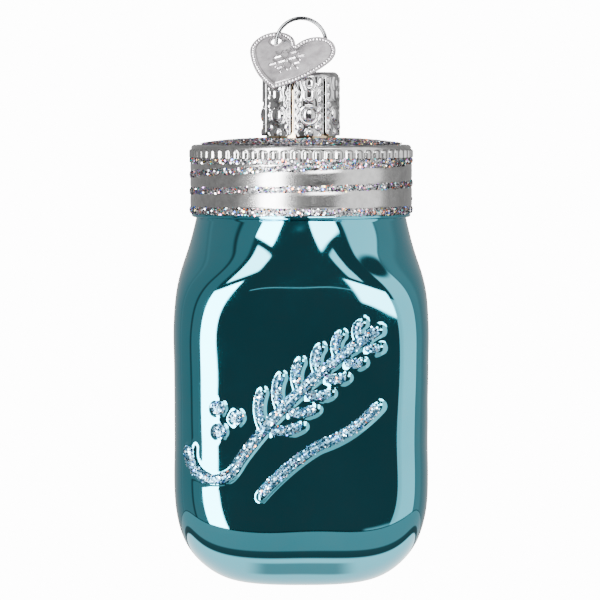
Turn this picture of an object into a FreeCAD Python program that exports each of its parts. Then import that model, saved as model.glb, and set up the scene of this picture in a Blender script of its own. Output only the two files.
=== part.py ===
"""Blown-glass hanging ornament in the shape of a lidded preserving jar.

One hollow blown shell makes the jar, its screw lid and the open neck stub above it. A lacquer coat and
bands of glitter lie on it, a stamped crown cap sits over the neck, a sprung wire hanger passes through
the cap, and a stamped heart tag hangs on the hanger's left limb.

Frame: millimetres, +Z up, the jar's flat front faces -Y, the origin is the centre of the flat base.
"""
import FreeCAD, Part
import math
import os

import Sketcher

ORIGIN_POINT = (-1, 1)      # Sketcher's reference to a sketch's own origin
H_AXIS = -1
V_AXIS = -2
START, END, CENTRE = 1, 2, 3

doc = FreeCAD.newDocument("jar_ornament")
sheet = doc.addObject("Spreadsheet::Sheet", "dims")
vector = FreeCAD.Vector

# ---------------------------------------------------------------------------------- driving dimensions
# The jar is a rounded square in plan. Each station gives its height, half width and corner radius.
STATIONS = ["base", "toe", "heel", "rise", "flank", "belly", "waist", "chest", "shoulder", "slope", "throat"]
HEIGHTS = [0.0, 0.9, 3.0, 6.6, 12.0, 24.0, 38.0, 48.0, 54.0, 59.0, 64.3]
HALF_WIDTHS = [10.2, 13.8, 17.1, 20.0, 21.8, 22.3, 22.4, 22.3, 21.5, 19.9, 18.6]
CORNERS = [8.0, 9.9, 11.0, 10.8, 9.8, 9.2, 9.0, 9.6, 12.5, 16.2, 18.4]

DIMENSIONS = {
    "wall": 0.9,                # blown glass
    "relief_rise": 0.45,        # moulded strokes on the front
    "relief_width": 2.3,
    "glitter_depth": 0.3,
    "glitter_width": 1.5,
    "bead_height": 65.1,        # top of the bare glass ring under the lid
    "bead_radius": 19.4,
    "skirt_radius": 19.3,       # glass under the lid's lacquer
    "coat": 0.15,               # lacquer
    "rim_height": 76.9,
    "rim_round": 0.9,
    "crown_radius": 6.2,        # neck stub, outside
    "crown_foot_height": 77.9,
    "neck_bore_radius": 5.3,
    "neck_top_height": 88.8,
    "knurl_count": 64,
    "knurl_low_height": 74.9,
    "knurl_high_height": 76.45,
    "knurl_radius": 0.8,
    "knurl_out_radius": 19.85,
    "rim_band_low_height": 73.9,
    "band_depth": 0.25,
    "hem_band_high_height": 66.4,
    "thread_start_height": 67.6,
    "thread_pitch": 2.8,
    "thread_turns": 1.95,
    "thread_band_width": 1.2,
    "top_band_out_radius": 17.6,
    "cap_top_height": 90.0,
    "cap_gauge": 0.25,          # sheet metal
    "cap_radius": 6.7,
    "cap_low_height": 78.75,
    "cap_corner": 1.0,
    "leaf_count": 7,
    "leaf_turn": 12.2,          # degrees from the front to the middle of the front leaf, towards +X
    "slit_width": 0.4,
    "slit_top_height": 88.9,
    "slit_mouth_width": 1.6,
    "slit_mouth_height": 80.2,
    "boss_radius": 1.9,         # the big round boss pressed out of each leaf
    "boss_rise": 0.45,
    "boss_height": 82.4,
    "tip_radius": 0.5,          # the ball at the foot of each leaf
    "tip_height": 79.0,
    "wire_radius": 0.32,
    "loop_radius": 4.4,         # to the wire's centre
    "loop_height": 95.1,
    "hole_offset": 2.2,         # each leg's hole from the middle of the cap
    "hole_radius": 0.5,
    "shoulder_bend": 0.7,
    "flare_bend": 1.5,
    "flare_height": 87.8,
    "leg_end_offset": 4.65,
    "leg_end_height": 80.6,
    "tag_gauge": 0.3,
    "tag_rim_rise": 0.12,
    "tag_rim_width": 0.55,
    "tag_lobe_radius": 4.1,
    "tag_lobe_offset": 3.9,
    "tag_lobe_rise": 2.6,
    "tag_tip_drop": 7.1,
    "tag_side_radius": 18.0,
    "tag_hole_radius": 0.95,
    "tag_hole_rise": 4.3,
    "tag_hole_height": 95.35,   # where the hanger passes through the tag
    "tag_lean": 48.3,           # degrees that the tag's top leans back
    "tag_slope": 15.6,          # degrees that its lean axis climbs to the right
    "tag_turn": 32.5,           # degrees that the heart is turned clockwise in its own plane
    "flake_arm_length": 2.5,
    "flake_arm_width": 0.36,
    "flake_barb": 0.7,
    "flake_barb_start": 1.1,
}

# Strokes on the jar's front: start and end as (x, height), and how far the arc between them bulges to
# the left of that direction.
STEM_STROKES = [
    ((-19.0, 25.2), (-16.4, 19.8), -1.0),
    ((-16.4, 19.8), (-10.6, 22.4), -1.4),
    ((-10.6, 22.4), (13.6, 45.4), 1.6),
]
UNDERLINE_STROKES = [((-6.8, 16.8), (3.4, 25.4), 0.5), ((3.4, 25.4), (13.6, 32.4), -0.9)]
BERRIES = [(-13.9, 28.0), (-11.0, 30.4), (-14.1, 32.0)]
BERRY_RADIUS = 1.25
NEEDLE_PAIRS = 6
NEEDLE_FIRST = 0.20             # share of the long stem stroke where the first pair grows
NEEDLE_LAST = 0.86
NEEDLE_LONG = 7.0
NEEDLE_SHORT = 4.0
NEEDLE_SPREAD = 40.0            # degrees from the stem
NEEDLE_BULGE = 0.5


def fill_sheet():
    """Writes each dimension as a plain number with its alias."""
    cells = dict(DIMENSIONS)
    for station, height, half, corner in zip(STATIONS, HEIGHTS, HALF_WIDTHS, CORNERS):
        cells["height_" + station] = height
        cells["half_" + station] = half
        cells["corner_" + station] = corner
    for row, (alias, number) in enumerate(cells.items(), start=1):
        sheet.set(f"A{row}", alias)
        sheet.set(f"B{row}", str(number))
        sheet.setAlias(f"B{row}", alias)
    doc.recompute()


def size(alias):
    """A dimension's value, for the shapes that this script sets itself."""
    return float(getattr(sheet, alias))


def evaluate(expression):
    """The value of an expression in aliases and numbers, such as 'wall + 2 * coat'."""
    return float(sheet.evalExpression(bind(expression)))


def bind(expression):
    """Puts the sheet's name before each alias in an expression."""
    words = expression.replace("(", " ( ").replace(")", " ) ").split()
    text = " ".join("dims." + w if w in sheet_aliases else w for w in words)
    return text.replace("sin (", "sin(").replace("cos (", "cos(")


fill_sheet()
sheet_aliases = set(DIMENSIONS) | {f"{kind}_{s}" for s in STATIONS for kind in ("height", "half", "corner")}


# ---------------------------------------------------------------------------------------- sketch tools
def origin_plane(body, role):
    return next(f for f in body.Origin.OriginFeatures if f.Role == role)


def new_body(label):
    body = doc.addObject("PartDesign::Body", label)
    body.Label = label
    return body


def body_sketch(body, name, role):
    """An empty sketch on one of the body's own origin planes."""
    sketch = body.newObject("Sketcher::SketchObject", name)
    sketch.AttachmentSupport = [(origin_plane(body, role), "")]
    sketch.MapMode = "FlatFace"
    return sketch


def drive(sketch, kind, references, expression):
    """Adds a dimension to a sketch and binds it to the sheet."""
    index = sketch.addConstraint(Sketcher.Constraint(kind, *references, evaluate(expression)))
    name = f"size_{index}"
    sketch.renameConstraint(index, name)
    sketch.setExpression(f"Constraints.{name}", bind(expression))


def place_point(sketch, geometry, point, across, up):
    """Holds a vertex at (across, up), two expressions; '0' means on the axis, a leading '- ' below it."""
    for kind, expression, axis in (("DistanceX", across, V_AXIS), ("DistanceY", up, H_AXIS)):
        if expression == "0":
            sketch.addConstraint(Sketcher.Constraint("PointOnObject", geometry, point, axis))
        elif expression.startswith("- "):
            drive(sketch, kind, (geometry, point, *ORIGIN_POINT), expression[2:])
        else:
            drive(sketch, kind, (*ORIGIN_POINT, geometry, point), expression)


def polygon(sketch, corners):
    """A closed outline of straight lines through corners given as pairs of expressions."""
    places = [vector(evaluate(x), evaluate(y), 0) for x, y in corners]
    for i, place in enumerate(places):
        sketch.addGeometry(Part.LineSegment(place, places[(i + 1) % len(places)]))
    for i in range(len(places)):
        sketch.addConstraint(Sketcher.Constraint("Coincident", i, END, (i + 1) % len(places), START))
    for i, (across, up) in enumerate(corners):
        place_point(sketch, i, START, across, up)


def circle(sketch, across, up, radius):
    """A circle at (across, up); all three are expressions."""
    centre = vector(evaluate(across), evaluate(up), 0)
    index = sketch.addGeometry(Part.Circle(centre, vector(0, 0, 1), evaluate(radius)))
    place_point(sketch, index, CENTRE, across, up)
    drive(sketch, "Radius", (index,), radius)
    return index


def revolve(body, sketch, kind="PartDesign::Revolution", name="turned"):
    feature = body.newObject(kind, name)
    feature.Profile = sketch
    feature.ReferenceAxis = (sketch, ["V_Axis"])
    feature.Angle = 360
    doc.recompute()
    return feature


def pocket(body, sketch, name, length, reverse=False):
    """Cuts a sketch into the body to a length, an expression."""
    before = body.Shape.Volume
    feature = body.newObject("PartDesign::Pocket", name)
    feature.Profile = sketch
    feature.setExpression("Length", bind(length))
    feature.Reversed = reverse
    doc.recompute()
    if body.Shape.Volume > before - 1e-6:
        raise RuntimeError(f"{name} cuts nothing")
    return feature


def pattern_round(body, features, count, name):
    """Repeats features round the body's Z axis."""
    feature = body.newObject("PartDesign::PolarPattern", name)
    feature.Originals = features
    feature.Axis = (origin_plane(body, "Z_Axis"), [""])
    feature.Angle = 360
    feature.setExpression("Occurrences", bind(count))
    body.Tip = feature
    doc.recompute()
    return feature


# ------------------------------------------------------------------------------------- the blown shell
def rounded_square(name, half, corner, height):
    """A sketch of a square with round corners, level at a height; the three sizes are expressions."""
    sketch = doc.addObject("Sketcher::SketchObject", name)
    h, r = evaluate(half), evaluate(corner)
    flat = h - r
    turns = [(-90, (flat, -flat)), (0, (flat, flat)), (90, (-flat, flat)), (180, (-flat, -flat))]
    for start, (cx, cy) in turns:
        arc_circle = Part.Circle(vector(cx, cy, 0), vector(0, 0, 1), r)
        sketch.addGeometry(Part.ArcOfCircle(arc_circle, math.radians(start), math.radians(start + 90)))
    sides = [((h, -flat), (h, flat)), ((flat, h), (-flat, h)), ((-h, flat), (-h, -flat)), ((-flat, -h), (flat, -h))]
    for (x0, y0), (x1, y1) in sides:
        sketch.addGeometry(Part.LineSegment(vector(x0, y0, 0), vector(x1, y1, 0)))
    for arc, side in enumerate(range(4, 8)):
        sketch.addConstraint(Sketcher.Constraint("Tangent", arc, END, side, START))
        sketch.addConstraint(Sketcher.Constraint("Tangent", side, END, (arc + 1) % 4, START))
    for side, kind in ((4, "Vertical"), (5, "Horizontal"), (6, "Vertical"), (7, "Horizontal")):
        sketch.addConstraint(Sketcher.Constraint(kind, side))
    for arc in (1, 2, 3):
        sketch.addConstraint(Sketcher.Constraint("Equal", 0, arc))
    drive(sketch, "Radius", (0,), corner)
    drive(sketch, "DistanceX", (*ORIGIN_POINT, 4, START), half)
    drive(sketch, "DistanceY", (*ORIGIN_POINT, 5, START), half)
    drive(sketch, "DistanceX", (6, START, *ORIGIN_POINT), half)
    drive(sketch, "DistanceY", (7, START, *ORIGIN_POINT), half)
    sketch.setExpression("Placement.Base.z", bind(height))
    return sketch


def jar_form(name, grow):
    """The jar's solid form from base to throat, its walls moved out by grow, an expression."""
    sections = []
    for station in STATIONS:
        height = "height_" + station
        if grow == "- wall" and size(height) < size("height_flank"):
            height = f"{height} + wall * ( 1 - {height} / height_flank )"
        sections.append(rounded_square(
            f"{name}_{station}", f"half_{station} {grow}", f"corner_{station} {grow}", height))
    loft = doc.addObject("Part::Loft", name)
    loft.Sections = sections
    loft.Solid = True
    loft.Ruled = False
    return loft


def lid_body(name, corners):
    """A turned solid on the Z axis through corners given as pairs of expressions."""
    body = new_body(name)
    sketch = body_sketch(body, name + "_profile", "XZ_Plane")
    polygon(sketch, corners)
    revolve(body, sketch)
    return body


def combine(kind, name, first, *others):
    """A Part boolean of document objects."""
    if kind == "Part::MultiFuse":
        feature = doc.addObject(kind, name)
        feature.Shapes = [first, *others]
    else:
        feature = doc.addObject(kind, name)
        feature.Base = first
        feature.Tool = others[0]
    feature.Label = name
    return feature


LID_GLASS = [
    ("0", "height_throat - 0.3"),
    ("half_throat - 0.3", "height_throat - 0.3"),
    ("bead_radius", "height_throat"),
    ("bead_radius", "bead_height"),
    ("skirt_radius", "bead_height"),
    ("skirt_radius", "rim_height - rim_round"),
    ("skirt_radius - rim_round", "rim_height"),
    ("crown_radius", "crown_foot_height"),
    ("crown_radius", "neck_top_height"),
    ("0", "neck_top_height"),
]
LID_CAVITY = [
    ("0", "height_throat - 0.3"),
    ("half_throat - wall - 0.2", "height_throat - 0.3"),
    ("skirt_radius - wall", "bead_height"),
    ("skirt_radius - wall", "rim_height - rim_round - wall / 2"),
    ("skirt_radius - rim_round - wall / 2", "rim_height - wall"),
    ("neck_bore_radius", "crown_foot_height - wall"),
    ("neck_bore_radius", "neck_top_height"),
    ("0", "neck_top_height"),
]


def glass_shell():
    """The whole blown piece: jar, lid form, neck stub and raised strokes, hollow throughout."""
    solid = doc.addObject("Part::MultiFuse", "glass_solid")
    solid.Shapes = [outer_form, lid_body("lid_form", LID_GLASS), relief]
    hollow = doc.addObject("Part::MultiFuse", "glass_hollow")
    hollow.Shapes = [cavity_form, lid_body("lid_cavity", LID_CAVITY)]
    return combine("Part::Cut", "glass_body", solid, hollow)


# --------------------------------------------------------------------------- raised strokes on the front
def stroke_face(start, end, bulge, width):
    """A flat face in the XZ plane: an arc of constant width with round ends."""
    a, b = vector(start[0], 0, start[1]), vector(end[0], 0, end[1])
    chord = (b - a).Length
    left = vector(-(b - a).z, 0, (b - a).x) / chord
    radius = (chord ** 2 / 4 + bulge ** 2) / (2 * abs(bulge))
    side = math.copysign(1, bulge)
    centre = (a + b) / 2 + left * (bulge - side * radius)
    middle = (a + b) / 2 + left * bulge

    def out(point, by):
        """The point moved away from the arc's centre."""
        return point + (point - centre).normalize() * by

    def beyond(point, other):
        """The end of the round cap at point, on the side away from other."""
        ray = point - centre
        across = vector(-ray.z, 0, ray.x).normalize()
        sign = 1 if (point - other).dot(across) > 0 else -1
        return point + across * (sign * width / 2)

    edges = [
        Part.Arc(out(a, width / 2), out(middle, width / 2), out(b, width / 2)),
        Part.Arc(out(b, width / 2), beyond(b, a), out(b, -width / 2)),
        Part.Arc(out(b, -width / 2), out(middle, -width / 2), out(a, -width / 2)),
        Part.Arc(out(a, -width / 2), beyond(a, b), out(a, width / 2)),
    ]
    return Part.Face(Part.Wire([e.toShape() for e in edges]))


def point_on_arc(start, end, bulge, share):
    """The point at a share of an arc's length, and the direction of travel there in radians."""
    chord_angle = math.atan2(end[1] - start[1], end[0] - start[0])
    chord = math.dist(start, end)
    half_turn = 2 * math.atan(2 * bulge / chord)
    heading = chord_angle + half_turn
    if abs(half_turn) < 1e-9:
        return (start[0] + share * (end[0] - start[0]), start[1] + share * (end[1] - start[1])), chord_angle
    radius = chord / (2 * math.sin(half_turn))
    turned = -2 * half_turn * share
    x = start[0] + radius * (math.sin(heading) - math.sin(heading + turned))
    z = start[1] - radius * (math.cos(heading) - math.cos(heading + turned))
    return (x, z), heading + turned


def needle_strokes():
    """The needles, in pairs up the long stem stroke, shorter towards the tip."""
    strokes = []
    for i in range(NEEDLE_PAIRS):
        share = i / (NEEDLE_PAIRS - 1)
        root, heading = point_on_arc(*STEM_STROKES[-1], NEEDLE_FIRST + share * (NEEDLE_LAST - NEEDLE_FIRST))
        length = NEEDLE_LONG + share * (NEEDLE_SHORT - NEEDLE_LONG)
        for side in (1, -1):
            angle = heading + side * math.radians(NEEDLE_SPREAD)
            gap = size("relief_width") * 0.75
            first = (root[0] + gap * math.cos(angle), root[1] + gap * math.sin(angle))
            last = (root[0] + length * math.cos(angle), root[1] + length * math.sin(angle))
            strokes.append((first, last, side * NEEDLE_BULGE))
    return strokes


def prism(face):
    """A face in the XZ plane, thickened right through the jar's front wall."""
    front, back = -30.0, -12.0
    face.translate(vector(0, front, 0))
    return face.extrude(vector(0, back - front, 0))


def stroke_prisms(strokes, width):
    solids = [prism(stroke_face(*stroke, width)) for stroke in strokes]
    return solids[0].fuse(solids[1:]).removeSplitter() if len(solids) > 1 else solids[0]


def berry_prisms(radius):
    solids = []
    for x, height in BERRIES:
        ring = Part.Circle(vector(x, 0, height), vector(0, 1, 0), radius)
        solids.append(prism(Part.Face(Part.Wire(ring.toShape()))))
    return Part.makeCompound(solids)


def shape_feature(name, shape):
    feature = doc.addObject("Part::Feature", name)
    feature.Shape = shape
    return feature


def glitter_coat(name, tool):
    """The glitter on a group of strokes: the tool's part between the relief's face and the glitter's."""
    layer = combine("Part::Common", name + "_layer", glitter_form, shape_feature(name + "_tool", tool))
    return combine("Part::Cut", name, layer, relief_form)


outer_form = jar_form("outer_form", "+ 0")
cavity_form = jar_form("cavity_form", "- wall")
relief_form = jar_form("relief_form", "+ relief_rise")
glitter_form = jar_form("glitter_form", "+ relief_rise + glitter_depth")
doc.recompute()

stroke_groups = {"stem": STEM_STROKES, "underline": UNDERLINE_STROKES, "needles": needle_strokes()}
relief_tools = [stroke_prisms(strokes, size("relief_width")) for strokes in stroke_groups.values()]
relief_tools.append(berry_prisms(BERRY_RADIUS + 0.4))
relief_tool = shape_feature("relief_tool", relief_tools[0].fuse(relief_tools[1:]))
relief = combine("Part::Common", "relief", relief_form, relief_tool)

stem_tool = stroke_prisms(STEM_STROKES, size("glitter_width"))
sprig_parts = {
    "sprig_stem_glitter": stem_tool,
    "sprig_needle_glitter": stroke_prisms(stroke_groups["needles"], size("glitter_width")).cut(stem_tool),
    "sprig_berry_glitter": berry_prisms(BERRY_RADIUS),
    "underline_glitter": stroke_prisms(UNDERLINE_STROKES, size("glitter_width")),
}
sprig_coats = [glitter_coat(name, tool) for name, tool in sprig_parts.items()]
doc.recompute()


# ------------------------------------------------------------------------------ the lid's lacquer coat
def lacquer_coat():
    """A thin shell over the lid form, with upright ribs round the rim."""
    body = new_body("lid_silver_coat")
    sketch = body_sketch(body, "coat_profile", "XZ_Plane")
    polygon(sketch, [
        ("0", "bead_height"),
        ("skirt_radius + coat", "bead_height"),
        ("skirt_radius + coat", "rim_height - rim_round + coat / 2"),
        ("skirt_radius - rim_round + coat / 2", "rim_height + coat"),
        ("crown_radius", "crown_foot_height + coat"),
        ("0", "crown_foot_height + coat"),
    ])
    revolve(body, sketch, name="coat_turned")
    rib_sketch = body_sketch(body, "rib_section", "XY_Plane")
    rib_sketch.setExpression("AttachmentOffset.Base.z", bind("knurl_low_height"))
    circle(rib_sketch, "knurl_out_radius - knurl_radius", "0", "knurl_radius")
    rib = body.newObject("PartDesign::Pad", "rib")
    rib.Profile = rib_sketch
    rib.setExpression("Length", bind("knurl_high_height - knurl_low_height"))
    doc.recompute()
    pattern_round(body, [rib], "knurl_count", "ribs")
    inside = body_sketch(body, "coat_inside", "XZ_Plane")
    polygon(inside, [("0", "height_throat")] + [
        ("skirt_radius", "height_throat"),
        ("skirt_radius", "rim_height - rim_round"),
        ("skirt_radius - rim_round", "rim_height"),
        ("crown_radius", "crown_foot_height"),
        ("crown_radius", "cap_low_height"),
        ("0", "cap_low_height"),
    ])
    revolve(body, inside, "PartDesign::Groove", "glass_space")
    return body


# ------------------------------------------------------------------------------- glitter on the lid
def band(label, low, high):
    """A ring of glitter round the lid's skirt between two heights, both expressions."""
    return lid_body(label, [
        ("skirt_radius + coat", low),
        ("skirt_radius + coat + band_depth", low),
        ("skirt_radius + coat + band_depth", high),
        ("skirt_radius + coat", high),
    ])


def top_glitter():
    """The glitter on the lid's shallow cone, from just inside the rim to the neck."""
    cone_edge = "skirt_radius - rim_round + coat / 2"
    share = f"( {cone_edge} - top_band_out_radius ) / ( {cone_edge} - crown_radius )"
    outer_height = f"rim_height + coat + ( crown_foot_height - rim_height ) * {share}"
    return lid_body("lid_top_glitter", [
        ("top_band_out_radius", outer_height),
        ("crown_radius", "crown_foot_height + coat"),
        ("crown_radius", "crown_foot_height + coat + band_depth"),
        ("top_band_out_radius", f"{outer_height} + band_depth"),
    ])


def thread_glitter():
    """The glitter that fills the lid's screw groove."""
    body = new_body("thread_glitter_band")
    sketch = body_sketch(body, "thread_section", "XZ_Plane")
    low = "thread_start_height - thread_band_width / 2"
    high = "thread_start_height + thread_band_width / 2"
    polygon(sketch, [
        ("skirt_radius", low),
        ("skirt_radius + coat + band_depth", low),
        ("skirt_radius + coat + band_depth", high),
        ("skirt_radius", high),
    ])
    helix = body.newObject("PartDesign::AdditiveHelix", "thread_run")
    helix.Profile = sketch
    helix.ReferenceAxis = (sketch, ["V_Axis"])
    helix.Mode = "pitch-turns-angle"
    helix.setExpression("Pitch", bind("thread_pitch"))
    helix.setExpression("Turns", bind("thread_turns"))
    doc.recompute()
    core = body_sketch(body, "thread_core", "XZ_Plane")
    polygon(core, [
        ("0", "bead_height"),
        ("skirt_radius + coat", "bead_height"),
        ("skirt_radius + coat", "rim_height"),
        ("0", "rim_height"),
    ])
    revolve(body, core, "PartDesign::Groove", "coat_space")
    return body


# ------------------------------------------------------------------------------------- the crown cap
def pressed_ball(body, kind, name, radius, reach, height):
    """A sphere on the middle of the front leaf, its centre at reach from the axis; all expressions."""
    ball = body.newObject(kind, name)
    ball.AttachmentSupport = [(origin_plane(body, "XY_Plane"), "")]
    ball.MapMode = "FlatFace"
    ball.setExpression("Radius", bind(radius))
    turn = "leaf_turn * 1 deg"
    ball.setExpression("AttachmentOffset.Base.x", bind(f"( {reach} ) * sin( {turn} )"))
    ball.setExpression("AttachmentOffset.Base.y", bind(f"0 - ( {reach} ) * cos( {turn} )"))
    ball.setExpression("AttachmentOffset.Base.z", bind(height))
    doc.recompute()
    return ball


def crown_cap():
    """A drawn cup of thin sheet, its skirt slit into leaves, each with a pressed boss and a ball foot."""
    body = new_body("ornament_cap")
    sketch = body_sketch(body, "cap_profile", "XZ_Plane")
    polygon(sketch, [
        ("0", "cap_low_height"),
        ("cap_radius", "cap_low_height"),
        ("cap_radius", "cap_top_height - cap_corner"),
        ("cap_radius - cap_corner * 0.3", "cap_top_height - cap_corner * 0.3"),
        ("cap_radius - cap_corner", "cap_top_height"),
        ("0", "cap_top_height"),
    ])
    revolve(body, sketch, name="cap_turned")
    boss = pressed_ball(body, "PartDesign::AdditiveSphere", "boss", "boss_radius",
                        "cap_radius + boss_rise - boss_radius", "boss_height")
    tip = pressed_ball(body, "PartDesign::AdditiveSphere", "tip", "tip_radius",
                       "cap_radius - 0.05", "tip_height")
    pattern_round(body, [boss, tip], "leaf_count", "bosses")
    inside = body_sketch(body, "cap_inside", "XZ_Plane")
    polygon(inside, [
        ("0", "crown_foot_height"),
        ("cap_radius - cap_gauge", "crown_foot_height"),
        ("cap_radius - cap_gauge", "cap_top_height - cap_corner"),
        ("cap_radius - cap_corner", "cap_top_height - cap_gauge"),
        ("0", "cap_top_height - cap_gauge"),
    ])
    revolve(body, inside, "PartDesign::Groove", "cap_hollow")
    dimple = pressed_ball(body, "PartDesign::SubtractiveSphere", "dimple", "boss_radius - cap_gauge",
                          "cap_radius + boss_rise - boss_radius", "boss_height")
    pattern_round(body, [dimple], "leaf_count", "dimples")
    slit = body_sketch(body, "slit_outline", "XZ_Plane")
    slit.AttachmentOffset = FreeCAD.Placement(vector(), FreeCAD.Rotation(vector(0, 1, 0), 1))
    slit.setExpression("AttachmentOffset.Rotation.Angle", bind("leaf_turn + 180 / leaf_count"))
    polygon(slit, [
        ("- slit_mouth_width / 2", "crown_foot_height"),
        ("slit_mouth_width / 2", "crown_foot_height"),
        ("slit_mouth_width / 2", "cap_low_height"),
        ("slit_width / 2", "slit_mouth_height"),
        ("slit_width / 2", "slit_top_height"),
        ("- slit_width / 2", "slit_top_height"),
        ("- slit_width / 2", "slit_mouth_height"),
        ("- slit_mouth_width / 2", "cap_low_height"),
    ])
    cut = pocket(body, slit, "slit", "cap_radius * 2", reverse=True)
    pattern_round(body, [cut], "leaf_count", "slits")
    holes = body_sketch(body, "hanger_holes", "XY_Plane")
    holes.setExpression("AttachmentOffset.Base.z", bind("cap_top_height"))
    circle(holes, "hole_offset", "0", "hole_radius")
    circle(holes, "- hole_offset", "0", "hole_radius")
    pocket(body, holes, "holes", "cap_gauge * 2")
    return body


# ------------------------------------------------------------------------------- the sprung hanger
def hanger_wire():
    """A wire loop whose two legs pass through the cap and splay inside the neck."""
    body = new_body("hanger_wire")
    path = body_sketch(body, "wire_path", "XZ_Plane")
    loop, radius = size("loop_height"), size("loop_radius")
    leg, bend, flare = size("hole_offset"), size("shoulder_bend"), size("flare_bend")
    shoulder = vector(-leg - bend, loop - math.sqrt((radius + bend) ** 2 - (leg + bend) ** 2), 0)
    middle = vector(0, loop, 0)
    joint = middle + (shoulder - middle) * (radius / (radius + bend))
    loop_start = math.atan2(joint.y - loop, joint.x) % (2 * math.pi)
    path.addGeometry(Part.ArcOfCircle(Part.Circle(middle, vector(0, 0, 1), radius), math.pi / 2, loop_start))
    path.addGeometry(Part.ArcOfCircle(
        Part.Circle(shoulder, vector(0, 0, 1), bend), 0, math.atan2(joint.y - shoulder.y, joint.x - shoulder.x)))
    flare_top = vector(-leg, size("flare_height"), 0)
    path.addGeometry(Part.LineSegment(vector(-leg, shoulder.y, 0), flare_top))
    splay = math.radians(19.4)
    flare_centre = flare_top - vector(flare, 0, 0)
    path.addGeometry(Part.ArcOfCircle(Part.Circle(flare_centre, vector(0, 0, 1), flare), -splay, 0))
    flare_end = flare_centre + vector(flare * math.cos(splay), -flare * math.sin(splay), 0)
    leg_end = vector(-size("leg_end_offset"), size("leg_end_height"), 0)
    path.addGeometry(Part.LineSegment(flare_end, leg_end))
    constraint = Sketcher.Constraint
    path.addConstraint(constraint("PointOnObject", 0, CENTRE, V_AXIS))
    path.addConstraint(constraint("PointOnObject", 0, START, V_AXIS))
    path.addConstraint(constraint("Tangent", 0, END, 1, END))
    path.addConstraint(constraint("Tangent", 1, START, 2, START))
    path.addConstraint(constraint("Vertical", 2))
    path.addConstraint(constraint("Tangent", 2, END, 3, END))
    path.addConstraint(constraint("Tangent", 3, START, 4, START))
    drive(path, "DistanceY", (*ORIGIN_POINT, 0, CENTRE), "loop_height")
    drive(path, "Radius", (0,), "loop_radius")
    drive(path, "Radius", (1,), "shoulder_bend")
    drive(path, "Radius", (3,), "flare_bend")
    drive(path, "DistanceX", (2, END, *ORIGIN_POINT), "hole_offset")
    drive(path, "DistanceY", (*ORIGIN_POINT, 2, END), "flare_height")
    drive(path, "DistanceX", (4, END, *ORIGIN_POINT), "leg_end_offset")
    drive(path, "DistanceY", (*ORIGIN_POINT, 4, END), "leg_end_height")
    section = body_sketch(body, "wire_section", "YZ_Plane")
    circle(section, "0", "loop_height + loop_radius", "wire_radius")
    doc.recompute()
    pipe = body.newObject("PartDesign::AdditivePipe", "half_wire")
    pipe.Profile = section
    pipe.Spine = path
    doc.recompute()
    mirrored = body.newObject("PartDesign::Mirrored", "whole_wire")
    mirrored.Originals = [pipe]
    mirrored.MirrorPlane = (origin_plane(body, "YZ_Plane"), [""])
    body.Tip = mirrored
    doc.recompute()
    return body


# ------------------------------------------------------------------------------------ the heart tag
def heart_outline():
    """The heart's outline about the snowflake's centre: two lobes, two long arcs to the tip."""
    sketch = doc.addObject("Sketcher::SketchObject", "heart_outline")
    lobe_radius, side_radius = size("tag_lobe_radius"), size("tag_side_radius")
    lobe = vector(size("tag_lobe_offset"), size("tag_lobe_rise"), 0)
    tip = vector(0, -size("tag_tip_drop"), 0)
    notch_angle = math.acos(-lobe.x / lobe_radius)
    away = tip - lobe
    reach = side_radius - lobe_radius
    # The side arc's centre is reach from the lobe's centre and side_radius from the tip.
    span = (away.Length ** 2 + reach ** 2 - side_radius ** 2) / (2 * away.Length)
    along = away.normalize()
    across = vector(-along.y, along.x, 0)
    side_centre = lobe + along * span - across * math.sqrt(reach ** 2 - span ** 2)
    touch = math.atan2(lobe.y - side_centre.y, lobe.x - side_centre.x)
    tip_angle = math.atan2(tip.y - side_centre.y, tip.x - side_centre.x)

    def arc(centre, radius, start, end):
        return Part.ArcOfCircle(Part.Circle(centre, vector(0, 0, 1), radius), start, end)

    def flip(point):
        return vector(-point.x, point.y, 0)

    sketch.addGeometry(arc(lobe, lobe_radius, touch, notch_angle))
    sketch.addGeometry(arc(side_centre, side_radius, tip_angle, touch))
    sketch.addGeometry(arc(flip(lobe), lobe_radius, math.pi - notch_angle, math.pi - touch))
    sketch.addGeometry(arc(flip(side_centre), side_radius, math.pi - touch, math.pi - tip_angle))
    constraint = Sketcher.Constraint
    sketch.addConstraint(constraint("Tangent", 0, START, 1, END))
    sketch.addConstraint(constraint("Tangent", 2, END, 3, START))
    sketch.addConstraint(constraint("Coincident", 0, END, 2, START))
    sketch.addConstraint(constraint("Coincident", 1, START, 3, END))
    sketch.addConstraint(constraint("PointOnObject", 1, START, V_AXIS))
    for lobe_arc, side_arc in ((0, 1), (2, 3)):
        drive(sketch, "Radius", (lobe_arc,), "tag_lobe_radius")
        drive(sketch, "Radius", (side_arc,), "tag_side_radius")
        drive(sketch, "DistanceY", (*ORIGIN_POINT, lobe_arc, CENTRE), "tag_lobe_rise")
    drive(sketch, "DistanceX", (*ORIGIN_POINT, 0, CENTRE), "tag_lobe_offset")
    drive(sketch, "DistanceX", (2, CENTRE, *ORIGIN_POINT), "tag_lobe_offset")
    drive(sketch, "DistanceY", (1, START, *ORIGIN_POINT), "tag_tip_drop")
    return sketch


def raised_slab(name, outline, length, base):
    """A flat slab over an outline, its lower face at base; both sizes are expressions."""
    slab = doc.addObject("Part::Extrusion", name)
    slab.Base = outline
    slab.DirMode = "Custom"
    slab.Dir = vector(0, 0, 1)
    slab.Solid = True
    slab.setExpression("LengthFwd", bind(length))
    slab.setExpression("Placement.Base.z", bind(base))
    return slab


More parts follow.
